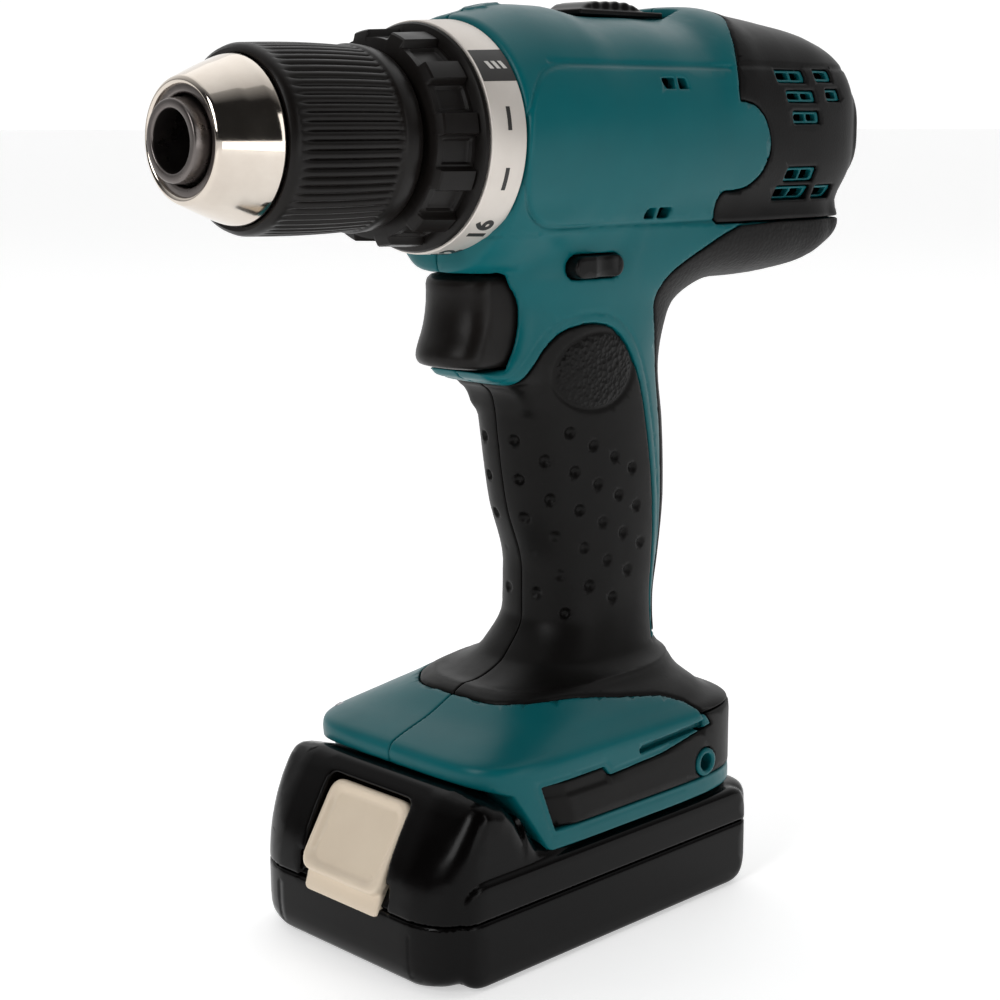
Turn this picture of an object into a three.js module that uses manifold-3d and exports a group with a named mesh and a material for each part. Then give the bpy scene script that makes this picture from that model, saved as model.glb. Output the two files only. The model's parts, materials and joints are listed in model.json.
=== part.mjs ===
// A cordless drill driver standing on its slim slide-on battery.
// Millimetres, +Z up. The origin is the centre of the battery's bottom face.
// The chuck points along -X, the tool's left side faces -Y, and the two housing halves meet at y = 0.

import * as THREE from 'three';
import { mergeVertices } from 'three/addons/utils/BufferGeometryUtils.js';
import Module from 'manifold-3d';

const wasm = await Module();
wasm.setup();

// ---------------------------------------------------------------- driving dimensions

const AXIS_Z = 198; // height of the spindle and motor axis
const NOSE_X = -100; // front face of the chuck
const GAP = 0.3; // clearance kept between touching pieces
const SEAM = 0.15; // half of the gap between left and right pieces
const RUBBER = 1.5; // thickness of the soft overmould
const WALL = 3.2; // housing wall
const SIDES = 24; // facets round a turned piece

const CHUCK = { boreR: 6.8, noseR: 9, rearX: -46.6, jawR: 2.9, jawTilt: Math.atan(0.2867) };
const CLOSED_TIP = { x: -98, r: 3.6 }; // where a jaw's axis ends with the chuck shut
const JAW_LENGTH = 25;
const JAW_TRAVEL = 20.6; // along the jaw's own axis, from fully open to shut
const SLEEVE = { frontX: -83, rearX: -46, r: 21.2, innerR: 18.9, ribs: 16, ribDepth: 0.6 };
const RING = { frontX: -44.7, bandX: -31.8, rearX: -20.9, bodyR: 22.4, finR: 24.8, bandR: 27.7 };
const FINS = { count: 12, firstAngle: 21.85, baseHalf: 2.9, tipHalf: 2.6 };

const GEAR = { module: 1.05, sun: 12, planet: 12, ring: 36, addendum: 0.74, dedendum: 0.98 };
const PIN_ORBIT = (GEAR.module * (GEAR.sun + GEAR.planet)) / 2;
const PIN_R = 1.9;
const STAGE_1 = { planets: [3.2, 10.2], ring: [2.9, 10.8], disc: [-1.5, 2.4] };
const STAGE_2 = { planets: [-13, -6], ring: [-13.6, -5.4], disc: [-16.8, -13.6] };
// The selector's fork moves twice as far as the ring gear that it shifts,
// so the groove is wider than the fork.
const FORK_GROOVE = { width: 5.8, floorR: 20.9, offset: 0.3 };
const FORK = { front: -8.8, rear: -6.6, half: 2.2, footR: 21.3 };

const MOTOR = { frontX: 18, rearX: 80, r: 19, innerR: 17, coreR: 15, shaftR: 2.4, shaftEnd: 99.4 };
const CRADLE = { innerR: 19.4, outerR: 21.8, fanInnerR: 17.3, fanOuterR: 18.4 };
const GEAR_CASE = { r: 24.2, innerR: 22.3, noseR: 13.2, noseInnerR: 10.9, frontX: -20, rearX: 13.5 };
const GEAR_WALL_X = -17.2; // back of the gear case's front wall

const BATTERY = { length: 117.8, width: 74.7, split: 17.2, cornerFront: 14, cornerRear: 8 };
const CELL = { r: 9.1, length: 65, pitch: 19, z: 12.2, count: 5 };
const RAIL = { rear: 48, neckHalf: 18, headHalf: 22, neckTop: 32.3, top: 42 };
const BLADE_Y = [-12, 0, 12];
const TRIGGER = { half: 11 };
const LEVER = { front: 0.2, rear: 18.8, bottom: 163.8, top: 170.2, half: 22.6 };
const SELECTOR = { front: 17, rear: 48, half: 8.3, floor: 227.5 };
const BUTTON = { half: 14.4 };
const HOOK_BOSS = { x: 35.9, z: 37.4, r: 3.6, hole: 1.8, faceY: 37.5 };
const HOUSING_SCREWS = [[33, 172], [20, 118], [24, 80], [-30, 50], [44, 49]];
const COVER_SCREW_Y = 20.2;

// ---------------------------------------------------------------- colours

function plastic(color, roughness) {
  return new THREE.MeshStandardMaterial({ color, roughness, metalness: 0 });
}

function metal(color, roughness) {
  return new THREE.MeshStandardMaterial({ color, roughness, metalness: 1 });
}

const TEAL = plastic(0x036a72, 0.38);
const BLACK = plastic(0x151515, 0.45);
const SOFT = plastic(0x1a1a1c, 0.75);
const BATTERY_BLACK = plastic(0x101012, 0.3);
const BEIGE = plastic(0xc9c0a8, 0.5);
const CHROME = metal(0xcfc4b4, 0.12);
const DARK_STEEL = metal(0x4a4a50, 0.35);
const STEEL = metal(0x8f9296, 0.35);
const SILVER = metal(0xb9b3aa, 0.45);
const COPPER = metal(0xb06a38, 0.4);
const CASE_GREY = plastic(0x3c3e42, 0.5);
const CELL_GREEN = plastic(0x2f7d4f, 0.4);
const PCB_GREEN = plastic(0x1f5a34, 0.5);

// ---------------------------------------------------------------- solids

function signedVolume(points, triangles) {
  const a = new THREE.Vector3();
  const b = new THREE.Vector3();
  const c = new THREE.Vector3();
  let total = 0;
  for (let i = 0; i < triangles.length; i += 3) {
    a.fromArray(points, 3 * triangles[i]);
    b.fromArray(points, 3 * triangles[i + 1]);
    c.fromArray(points, 3 * triangles[i + 2]);
    total += a.dot(b.cross(c));
  }
  return total;
}

function solid(geometry) {
  const bare = new THREE.BufferGeometry();
  bare.setAttribute('position', geometry.getAttribute('position').clone());
  if (geometry.index) bare.setIndex(geometry.index.clone());
  const merged = mergeVertices(bare, 1e-4);
  const points = Float32Array.from(merged.getAttribute('position').array);
  const triangles = [];
  const index = merged.index.array;
  for (let i = 0; i < index.length; i += 3) {
    const [a, b, c] = [index[i], index[i + 1], index[i + 2]];
    if (a !== b && b !== c && c !== a) triangles.push(a, b, c);
  }
  if (signedVolume(points, triangles) < 0) triangles.reverse();
  const triVerts = Uint32Array.from(triangles);
  return new wasm.Manifold(new wasm.Mesh({ numProp: 3, vertProperties: points, triVerts }));
}

function unite(...solids) {
  return solids.reduce((whole, next) => whole.add(next));
}

function cut(whole, ...tools) {
  return tools.reduce((rest, tool) => rest.subtract(tool), whole);
}

function box(x0, x1, y0, y1, z0, z1) {
  const geometry = new THREE.BoxGeometry(x1 - x0, y1 - y0, z1 - z0);
  geometry.translate((x0 + x1) / 2, (y0 + y1) / 2, (z0 + z1) / 2);
  return solid(geometry);
}

function rodX(x0, x1, r, y = 0, z = AXIS_Z, sides = 16, rearR = r) {
  const geometry = new THREE.CylinderGeometry(rearR, r, x1 - x0, sides);
  geometry.rotateZ(-Math.PI / 2);
  geometry.translate((x0 + x1) / 2, y, z);
  return solid(geometry);
}

function rodY(y0, y1, r, x, z, sides = 12) {
  const geometry = new THREE.CylinderGeometry(r, r, y1 - y0, sides);
  geometry.translate(x, (y0 + y1) / 2, z);
  return solid(geometry);
}

// A solid turned about the spindle axis from [x, radius] points; a tube's profile closes on itself.
function turned(profile, sides = SIDES) {
  const tube = profile.every(([, r]) => r > 0);
  const points = (tube ? [...profile, profile[0]] : profile).map(([x, r]) => new THREE.Vector2(r, x));
  const geometry = new THREE.LatheGeometry(points, sides);
  geometry.rotateZ(-Math.PI / 2);
  geometry.translate(0, 0, AXIS_Z);
  return solid(geometry);
}

function extruded(outline, depth) {
  const shape = new THREE.Shape(outline.map(([u, v]) => new THREE.Vector2(u, v)));
  return new THREE.ExtrudeGeometry(shape, { depth, bevelEnabled: false });
}

const UNIT_X = new THREE.Vector3(1, 0, 0);
const UNIT_Y = new THREE.Vector3(0, 1, 0);
const UNIT_Z = new THREE.Vector3(0, 0, 1);

// Plates: an outline of [y, z], [x, z] or [x, y] points, carried along X, Y or Z.
function plateX(outline, x0, x1) {
  const geometry = extruded(outline, x1 - x0);
  geometry.applyMatrix4(new THREE.Matrix4().makeBasis(UNIT_Y, UNIT_Z, UNIT_X));
  return solid(geometry.translate(x0, 0, 0));
}

function plateY(outline, y0, y1) {
  const geometry = extruded(outline, y1 - y0);
  geometry.applyMatrix4(new THREE.Matrix4().makeBasis(UNIT_X, UNIT_Z, UNIT_Y.clone().negate()));
  return solid(geometry.translate(0, y1, 0));
}

function plateZ(outline, z0, z1) {
  return solid(extruded(outline, z1 - z0).translate(0, 0, z0));
}

function arc(cu, cv, r, from, to, steps) {
  return Array.from({ length: steps + 1 }, (_, i) => {
    const a = THREE.MathUtils.degToRad(from + ((to - from) * i) / steps);
    return [cu + r * Math.cos(a), cv + r * Math.sin(a)];
  });
}

function capsule(u0, u1, v0, v1) {
  const r = (v1 - v0) / 2;
  return [...arc(u0 + r, v0 + r, r, 90, 270, 6), ...arc(u1 - r, v0 + r, r, -90, 90, 6)];
}

// Moves every corner of an outline inwards by a distance, along the bisector of its two edges.
function shrunk(outline, distance) {
  const n = outline.length;
  const turn = Math.sign(THREE.ShapeUtils.area(outline.map(([u, v]) => new THREE.Vector2(u, v))));
  return outline.map((point, i) => {
    const corner = new THREE.Vector2(...point);
    const before = corner.clone().sub(new THREE.Vector2(...outline[(i + n - 1) % n])).normalize();
    const after = new THREE.Vector2(...outline[(i + 1) % n]).sub(corner).normalize();
    const normal = new THREE.Vector2(-before.y - after.y, before.x + after.x).normalize();
    const reach = distance / Math.max(0.4, normal.dot(new THREE.Vector2(-before.y, before.x)));
    return [point[0] + turn * normal.x * reach, point[1] + turn * normal.y * reach];
  });
}

// ---------------------------------------------------------------- lofts

function superRing(cu, cv, hu, hv, power, sides) {
  return Array.from({ length: sides }, (_, i) => {
    const a = (2 * Math.PI * i) / sides;
    const bend = (value) => Math.sign(value) * Math.abs(value) ** (2 / power);
    return [cu + hu * bend(Math.cos(a)), cv + hv * bend(Math.sin(a))];
  });
}

function loft(rings) {
  const sides = rings[0].length;
  const points = rings.flat();
  const triangles = [];
  for (let ring = 0; ring + 1 < rings.length; ring += 1) {
    for (let i = 0; i < sides; i += 1) {
      const a = ring * sides + i;
      const b = ring * sides + ((i + 1) % sides);
      triangles.push(a, b, a + sides, b, b + sides, a + sides);
    }
  }
  for (const [first, side] of [[0, -1], [(rings.length - 1) * sides, 1]]) {
    for (let i = 1; i + 1 < sides; i += 1) {
      const [a, b] = side > 0 ? [first + i, first + i + 1] : [first + i + 1, first + i];
      triangles.push(first, a, b);
    }
  }
  const geometry = new THREE.BufferGeometry();
  geometry.setAttribute('position', new THREE.Float32BufferAttribute(points.flat(), 3));
  geometry.setIndex(triangles);
  return solid(geometry);
}

function squeezed(value, low, high, inset) {
  const middle = (low + high) / 2;
  return middle + ((value - middle) * (high - low - 2 * inset)) / (high - low);
}

// Sections across X: [x, top, bottom, half width, squareness].
function loftX(stations, inset, sides) {
  const [low, high] = [stations[0][0], stations.at(-1)[0]];
  return loft(stations.map(([x, top, bottom, half, power]) => {
    const height = Math.max(0.8, (top - bottom) / 2 - inset);
    const ring = superRing(0, (top + bottom) / 2, Math.max(0.8, half - inset), height, power, sides);
    return ring.map(([y, z]) => [squeezed(x, low, high, inset), y, z]);
  }));
}

// Sections across Z: [z, front x, rear x, half width, squareness].
function loftZ(stations, inset, sides) {
  const [low, high] = [stations[0][0], stations.at(-1)[0]];
  return loft(stations.map(([z, front, rear, half, power]) => {
    const ring = superRing((front + rear) / 2, 0, (rear - front) / 2 - inset, half - inset, power, sides);
    return ring.map(([x, y]) => [x, y, squeezed(z, low, high, inset)]);
  }));
}

// ---------------------------------------------------------------- the tool's outer form

const BARREL = [
  [-20.4, 226.2, 169.8, 28.1, 2.0],
  [10, 228, 169.6, 29.5, 2.3],
  [32, 229.2, 170, 30, 2.5],
  [58, 231.8, 171.6, 30.2, 2.6],
  [78, 229.2, 173, 29.7, 2.5],
  [95, 224.2, 175, 28.7, 2.4],
  [106, 217.6, 180, 26.8, 2.2],
  [111.4, 210, 186.6, 22, 2.1],
  [114.3, 201.6, 194.6, 8, 2.0],
];

const LOWER_REAR = [
  [26, 186, 166, 20, 2.4],
  [40, 186, 160.8, 24.5, 2.3],
  [60, 186, 160.2, 26.9, 2.3],
  [84, 186, 160.8, 27, 2.3],
  [97, 183, 163.4, 25.4, 2.3],
  [106.5, 179, 171, 20.5, 2.1],
  [109.4, 177.4, 174.6, 13, 2.0],
];

const HANDLE = [
  [44, 2, 42, 16, 2.4],
  [60, -8, 48, 22, 2.5],
  [66, -2, 46.6, 19, 2.5],
  [76, 4.6, 47.4, 16.6, 2.4],
  [88, 4.6, 49.7, 16.3, 2.4],
  [106, -0.9, 52.2, 16.5, 2.4],
  [124, -4, 51.3, 16.8, 2.4],
  [140, -5.8, 48.6, 17.4, 2.5],
  [155, -8, 52, 18.7, 2.6],
  [165, -16, 58.4, 20.5, 2.6],
  [184, -14, 54, 20, 2.6],
];

const FOOT = [
  [28.6, -41.4, 57, 37.3, 5],
  [46.5, -41.4, 57, 37.3, 5],
  [50.5, -40.6, 55.4, 36.4, 4.6],
  [53.6, -36.5, 52.6, 34.4, 4.2],
  [56.2, -28.5, 50.2, 31.4, 3.6],
  [59, -22.4, 48.6, 27.6, 3],
  [62, -16.4, 47.4, 23.8, 2.7],
];

// The finger rest below the trigger.
const REST_LIP = [
  [-18.2, 141.9], [-15.6, 139.6], [-12, 138], [-8.4, 134.6], [-4.4, 130], [8, 130],
  [8, 146], [-10, 144.6], [-13, 141.6], [-17.8, 142.2],
];

// Below this line the battery's head takes the place of the foot.
const FOOT_UNDERCUT = [
  [-46, 47.3], [-41.4, 47.3], [-32, 44.2], [-21.9, 28.4], [-21.9, 20], [-46, 20],
];

function toolForm(inset, sides = 16) {
  return unite(
    loftX(BARREL, inset, sides),
    loftX(LOWER_REAR, inset, sides - 4),
    loftZ(HANDLE, inset, sides),
    cut(loftZ(FOOT, inset, sides), plateY(shrunk(FOOT_UNDERCUT, -inset), -40, 40)),
  );
}

function restLip(grow) {
  return plateY(shrunk(REST_LIP, -grow), -12 - grow, 12 + grow);
}

const outerForm = toolForm(0);
const rubberFloor = toolForm(RUBBER);
const recessFloor = toolForm(RUBBER + GAP);
const cavity = toolForm(WALL, 12);

// ---------------------------------------------------------------- regions of the covering pieces

const COVER_OUTLINE = [
  [118, 176.3], [118, 240], [49.3, 240], [49.3, 226.7], [54, 223.7], [53.2, 206.7],
  ...arc(55.5, 195.6, 11.2, 90, -90, 8),
  [50.1, 184.4], [48.6, 181], [48.6, 176.3],
];

const GRIP_OUTLINE = [
  [-24, 133.5], [-14, 136.2], [-9.2, 138.6], [-5.6, 141.8], [-1, 147.4], [3.6, 151.4], [11.1, 153],
  [18.6, 151.7], [24, 147.9], [28.8, 141.8], [32.9, 133.5], [36.2, 121], [38.6, 108], [39.4, 96],
  [39.2, 85], [38.9, 72], [38.2, 64], [32.6, 50], [-24, 50],
];

const BACKSTRAP_OUTLINE = [
  [60.8, 175.9], [51.5, 172.9], [42.4, 168], [36.5, 163.1], [34.4, 157], [37, 149.5], [39.6, 141.4],
  [41.8, 130], [43.4, 118], [43.8, 100], [42.6, 86], [40.2, 75], [39.2, 66],
  [60, 66], [60, 150], [118, 150], [118, 175.9],
];

// In plan: the soft top of the foot.
const FOOT_TOP_OUTLINE = [
  [-20, 0], [-19.7, -9.8], [-17.9, -15.1], [-11.8, -21.2], [5.7, -27], [29.8, -31.3], [36.5, -39],
  [64, -39], [64, 39], [36.5, 39], [29.8, 31.3], [5.7, 27], [-11.8, 21.2], [-17.9, 15.1], [-19.7, 9.8],
];
const FOOT_TOP_Z = [51, 66];

// Seen from the side: the soft strip along the foot, which widens into the heel.
const PAD_OUTLINE = [
  [-24.6, 45.2], [-20.2, 33.4], [60, 33.2], [60, 50.7], [35.4, 50.7], [38.2, 47.4], [18, 44],
  [-1.3, 43], [-3.4, 45.6],
];

function regions(shrink) {
  const handle = plateY(shrunk(GRIP_OUTLINE, shrink), -40, 40);
  const footTop = plateZ(shrunk(FOOT_TOP_OUTLINE, shrink), FOOT_TOP_Z[0] + shrink, FOOT_TOP_Z[1] - shrink);
  const belowFoot = box(-60, 70, -50, 50, 0, 57.4 + shrink);
  const pad = shrunk(PAD_OUTLINE, shrink);
  return {
    cover: plateY(shrunk(COVER_OUTLINE, shrink), -40, 40),
    grip: unite(cut(handle, belowFoot), footTop),
    backstrap: plateY(shrunk(BACKSTRAP_OUTLINE, shrink), -40, 40),
    pads: plateY(pad, -40, 40),
  };
}

const recesses = regions(0);
const coverings = regions(GAP);

const SIDE_BOX = {
  left: box(-130, 130, -60, -SEAM, -10, 260),
  right: box(-130, 130, SEAM, 60, -10, 260),
};

function bySide(name, whole, material) {
  return Object.entries(SIDE_BOX).map(([side, half]) => [`${name}_${side}`, whole.intersect(half), material]);
}

// ---------------------------------------------------------------- housing halves and their covering pieces

// The halves carry the motor in a tube that runs back inside the rear cover to the rear bearing.
function motorCradle() {
  const tube = turned([
    [38, CRADLE.innerR], [38, CRADLE.outerR], [87, CRADLE.outerR], [88, CRADLE.fanOuterR],
    [94.5, CRADLE.fanOuterR], [98, 15], [98, 5.4], [96, 5.4], [96, 13.6],
    [94, CRADLE.fanInnerR], [87, CRADLE.fanInnerR], [86.6, CRADLE.innerR],
  ], 20);
  const lugs = [-1, 1].map((side) => rodX(88, 96, 3.2, side * COVER_SCREW_Y, AXIS_Z, 8));
  const airGaps = [-1, 1].map((side) => {
    const middle = AXIS_Z + side * 22;
    return box(89, 94, -10, 10, middle - 8, middle + 8);
  });
  const fanRoom = rodX(80, 96.5, CRADLE.fanInnerR, 0, AXIS_Z, 20);
  return unite(cut(tube, ...airGaps), cut(unite(...lugs), fanRoom));
}

function motorRibs() {
  const slab = box(38, 40, -40, 40, 172, 240);
  const motorBore = rodX(10, 60, CRADLE.innerR, 0, AXIS_Z, 20);
  const selectorRoom = box(10, 45, -8, 8, 216, 240);
  return cut(slab.intersect(recessFloor), motorBore, selectorRoom);
}

function screwBosses() {
  return unite(...HOUSING_SCREWS.map(([x, z]) => rodY(-40, 40, 3.8, x, z, 8))).intersect(recessFloor);
}

function hookBosses() {
  return unite(...[-1, 1].map((side) => {
    const [y0, y1] = side < 0 ? [-HOOK_BOSS.faceY, -31] : [31, HOOK_BOSS.faceY];
    return rodY(y0, y1, HOOK_BOSS.r, HOOK_BOSS.x, HOOK_BOSS.z, 16);
  }));
}

function screwHoles() {
  const wells = HOUSING_SCREWS.map(([x, z]) => {
    const bore = rodY(-9.5, 40, 1.7, x, z, 6);
    return unite(bore, rodY(screwHeadY(x, z) - GAP, 45, 3.5, x, z, 8));
  });
  const coverBores = [-1, 1].map((side) => rodX(87, 104, 1.7, side * COVER_SCREW_Y, AXIS_Z, 6));
  return unite(...wells, ...coverBores);
}

// A screw head sits just under the surface of the right half, deeper where the handle is narrow.
function screwHeadY(x, z) {
  if (z < 60) return 30;
  return z > 150 ? 18 : 10.5;
}

function triggerOpening() {
  return plateY(shrunk(TRIGGER_OUTLINE, -0.45), -TRIGGER.half - 0.4, TRIGGER.half + 0.4).add(
    box(-16, 4, -TRIGGER.half - 0.4, TRIGGER.half + 0.4, 142.6, 166.3),
  );
}

function housing() {
  const shell = cut(outerForm, cavity);
  const inside = unite(screwBosses(), motorRibs(), motorCradle());
  const skinTools = [
    cut(recesses.grip, recessFloor),
    cut(recesses.backstrap, recessFloor),
    cut(recesses.pads, recessFloor),
  ];
  const { front, rear, bottom, top } = LEVER;
  const leverSlot = plateY(capsule(front - GAP, rear + GAP, bottom - GAP, top + GAP), -30, 30);
  const footMouth = unite(
    box(-48, -10, -RAIL.headHalf - 0.5, RAIL.headHalf + 0.5, 27, 43.6),
    box(-48, RAIL.rear + 1, -RAIL.neckHalf - 0.5, RAIL.neckHalf + 0.5, 27, 34),
  );
  const hookSlots = unite(box(9.8, 35, -40, -35, 46.3, 48.5), box(9.8, 35, 35, 40, 46.3, 48.5));
  const selectorRecess = unite(
    box(9, 53, -SELECTOR.half - 0.5, SELECTOR.half + 0.5, SELECTOR.floor, 240),
    box(19, 45, -4.4, 4.4, 215, 240),
    box(-15.5, 30, -3.4, 3.4, 215, 224.6),
  );
  const hookHoles = rodY(-45, 45, HOOK_BOSS.hole, HOOK_BOSS.x, HOOK_BOSS.z, 10);
  const boreR = GEAR_CASE.r + 0.4;
  const whole = cut(
    unite(cut(shell, ...skinTools, recesses.cover), cut(restLip(0), cavity), inside, hookBosses()),
    turned([[-25, 0], [-25, boreR], [GEAR_CASE.rearX + 0.4, boreR], [GEAR_CASE.rearX + 0.4, 0]]),
    triggerOpening(),
    leverSlot,
    footMouth,
    hookSlots,
    selectorRecess,
    hookHoles,
    screwHoles(),
  );
  return bySide('housing', whole, TEAL);
}

// A slanted vent slot, lean millimetres further along X at its top.
function vent(x0, x1, z0, z1, lean) {
  return plateY([[x0, z0], [x1, z0], [x1 + lean, z1], [x0 + lean, z1]], -40, 40);
}

const COVER_VENTS = [
  [70, 82.4, 211.6, 215, -1.2], [87, 94, 212, 215.2, -1.2],
  [74, 86.6, 206.6, 209.8, -1.2], [91.8, 98.4, 207, 210.2, -1.2],
  [76.4, 88.4, 201.2, 204.4, -1.2],
  [74, 86.4, 186.2, 189.8, 1.2], [70.8, 84.4, 181.4, 185, 1.2], [87.6, 96, 181.4, 185, 1.2],
];

function rearCover() {
  const shell = cut(outerForm, cavity).intersect(coverings.cover);
  const screwSeats = [-1, 1].map((side) => rodX(101.6, 120, 3.9, side * COVER_SCREW_Y, AXIS_Z, 12));
  const seats = unite(...screwSeats).intersect(outerForm);
  const wells = [-1, 1].map((side) => rodX(103.6, 120, 3.2, side * COVER_SCREW_Y, AXIS_Z, 12));
  const bores = [-1, 1].map((side) => rodX(99, 110, 1.7, side * COVER_SCREW_Y, AXIS_Z, 8));
  const vents = COVER_VENTS.map((slot) => vent(...slot));
  const seam = box(44, 130, -40, 40, 150, 176.6);
  return [['rear_cover', cut(unite(shell, seats), ...vents, ...wells, ...bores, seam), BLACK]];
}

function softSkins() {
  const skin = cut(outerForm, rubberFloor);
  const screws = screwHoles();
  const grip = cut(skin.intersect(coverings.grip), screws, triggerOpening(), restLip(GAP));
  const backstrap = cut(skin.intersect(coverings.backstrap), box(-30, 118, -40, 40, 175.6, 240));
  const pads = cut(skin.intersect(coverings.pads), screws, hookKeepClear());
  return [
    ...bySide('grip', grip, SOFT),
    ...bySide('backstrap', backstrap, SOFT),
    ...bySide('foot_pad', pads, SOFT),
  ];
}

function hookKeepClear() {
  return rodY(-45, 45, HOOK_BOSS.r + GAP, HOOK_BOSS.x, HOOK_BOSS.z, 16);
}

// ---------------------------------------------------------------- screws and springs

function panHeadScrew(headY, tipY, x, z) {
  const slot = box(x - 2, x + 2, headY + 1.2, headY + 3, z - 0.5, z + 0.5);
  const head = cut(rodY(headY, headY + 2.2, 3, x, z), slot);
  return unite(head, rodY(tipY, headY + 0.1, 1.3, x, z, 8));
}

function housingScrews() {
  return HOUSING_SCREWS.map(([x, z], i) => {
    const screw = panHeadScrew(screwHeadY(x, z), -9, x, z);
    return [`housing_screw_${i + 1}`, screw, STEEL];
  });
}

function coverScrews() {
  return [-1, 1].map((side, i) => {
    const y = side * COVER_SCREW_Y;
    const slot = box(105, 107, y - 2, y + 2, AXIS_Z - 0.5, AXIS_Z + 0.5);
    const head = cut(rodX(104, 106, 2.9, y, AXIS_Z, 12), slot);
    return [`cover_screw_${i + 1}`, unite(head, rodX(90, 104.1, 1.25, y, AXIS_Z, 8)), STEEL];
  });
}

class Helix extends THREE.Curve {
  constructor(start, end, radius, turns) {
    super();
    Object.assign(this, { start, axis: end.clone().sub(start), radius, turns });
    this.side = new THREE.Vector3(0, 1, 0);
    this.up = this.axis.clone().normalize().cross(this.side);
  }

  getPoint(t) {
    const angle = 2 * Math.PI * this.turns * t;
    return this.start.clone()
      .addScaledVector(this.axis, t)
      .addScaledVector(this.side, this.radius * Math.cos(angle))
      .addScaledVector(this.up, this.radius * Math.sin(angle));
  }
}

function spring(start, end, radius, wire, turns) {
  const outline = arc(0, 0, wire, 0, 270, 3).map(([u, v]) => new THREE.Vector2(u, v));
  const path = new Helix(new THREE.Vector3(...start), new THREE.Vector3(...end), radius, turns);
  return solid(new THREE.ExtrudeGeometry(new THREE.Shape(outline), { steps: turns * 8, extrudePath: path }));
}

// ---------------------------------------------------------------- gears

// A gear outline with plain V teeth, which leave backlash; an internal gear's teeth point inwards.
function gearOutline(teeth, internal = false) {
  const pitchR = (GEAR.module * teeth) / 2;
  const outward = internal ? -1 : 1;
  return Array.from({ length: 2 * teeth }, (_, i) => {
    const r = pitchR + outward * (i % 2 ? -GEAR.dedendum : GEAR.addendum);
    const a = (Math.PI * i) / teeth;
    return [r * Math.cos(a), r * Math.sin(a)];
  });
}

function shifted(outline, y, z, angle = 0) {
  const [c, s] = [Math.cos(angle), Math.sin(angle)];
  return outline.map(([u, v]) => [y + u * c - v * s, z + u * s + v * c]);
}

function sunGear(x0, x1) {
  return plateX(shifted(gearOutline(GEAR.sun), 0, AXIS_Z), x0, x1);
}

function planetPlace(index) {
  const angle = (2 * Math.PI * index) / 3;
  return { angle, y: PIN_ORBIT * Math.cos(angle), z: AXIS_Z + PIN_ORBIT * Math.sin(angle) };
}

function planetGear(index, [x0, x1]) {
  const { angle, y, z } = planetPlace(index);
  const outline = shifted(gearOutline(GEAR.planet), y, z, angle + Math.PI / GEAR.planet);
  return cut(plateX(outline, x0, x1), rodX(x0 - 1, x1 + 1, PIN_R + 0.3, y, z, 10));
}

function planets(stage, number) {
  return ['a', 'b', 'c'].map((letter, i) => {
    return [`planet_${number}${letter}`, planetGear(i, stage.planets), STEEL];
  });
}

function ringGear([x0, x1]) {
  const blank = turned([[x0, 0], [x0, 22], [x1, 22], [x1, 0]], 24);
  return cut(blank, plateX(shifted(gearOutline(GEAR.ring, true), 0, AXIS_Z), x0 - 1, x1 + 1));
}

function carrierPins(x0, x1) {
  return [0, 1, 2].map((i) => rodX(x0, x1, PIN_R, planetPlace(i).y, planetPlace(i).z, 10));
}

function shiftingRing() {
  const middle = (STAGE_2.ring[0] + STAGE_2.ring[1]) / 2 + FORK_GROOVE.offset;
  const half = FORK_GROOVE.width / 2;
  const groove = turned([
    [middle - half, FORK_GROOVE.floorR], [middle + half, FORK_GROOVE.floorR],
    [middle + half, 23], [middle - half, 23],
  ], 24);
  return cut(ringGear(STAGE_2.ring), groove);
}

function firstCarrier() {
  const [x0, x1] = STAGE_1.disc;
  return unite(rodX(x0, x1, 16, 0, AXIS_Z, SIDES), sunGear(STAGE_2.planets[0], x0 + 0.1),
    ...carrierPins(x1 - 0.1, STAGE_1.planets[1]));
}

// ---------------------------------------------------------------- drive train

function gearCase() {
  const { r, innerR, noseR, noseInnerR, frontX, rearX } = GEAR_CASE;
  const body = turned([
    [-42, noseInnerR], [-42, noseR], [frontX, noseR], [frontX, r], [rearX, r], [rearX, innerR],
    [GEAR_WALL_X, innerR], [GEAR_WALL_X, noseInnerR],
  ], 28);
  const forkSlot = box(-15.4, -6, -3, 3, AXIS_Z + 15, AXIS_Z + 30);
  return [['gear_case', cut(body, forkSlot), CASE_GREY]];
}

function spindle() {
  const [discFront, discRear] = STAGE_2.disc;
  const shaft = turned([
    [-61, 0], [-61, 5.9], [discFront, 5.9], [discFront, 16], [discRear, 16], [discRear, 0],
  ]);
  const pins = carrierPins(discRear - 0.1, STAGE_2.planets[1]);
  return [['spindle', cut(unite(shaft, ...pins), rodX(-62, -48, 3.1, 0, AXIS_Z, 12)), STEEL]];
}

function bearings() {
  const ring = (x0, x1, innerR, outerR) => {
    return turned([[x0, innerR], [x0, outerR], [x1, outerR], [x1, innerR]], 20);
  };
  return [
    ['spindle_bearing', ring(-40, -33.5, 6.2, 10.6), STEEL],
    ['rear_bearing', ring(96.2, 99, MOTOR.shaftR + GAP, 5), STEEL],
  ];
}

function motorCan() {
  const { frontX, rearX, r, innerR } = MOTOR;
  const wallX = frontX + 1.6;
  const can = turned([[frontX, 6], [frontX, r], [rearX, r], [rearX, innerR], [wallX, innerR], [wallX, 6]]);
  return [['motor_can', can, DARK_STEEL]];
}

function brushRing() {
  const ring = turned([[80.4, 12.6], [80.4, 18.4], [86, 18.4], [86, 12.6]]);
  const holders = [-1, 1].map((side) => {
    const [y0, y1] = side < 0 ? [-15, -8] : [8, 15];
    return box(80.8, 85.6, y0, y1, AXIS_Z - 3, AXIS_Z + 3);
  });
  return [['brush_ring', unite(ring, ...holders), CASE_GREY]];
}

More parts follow.
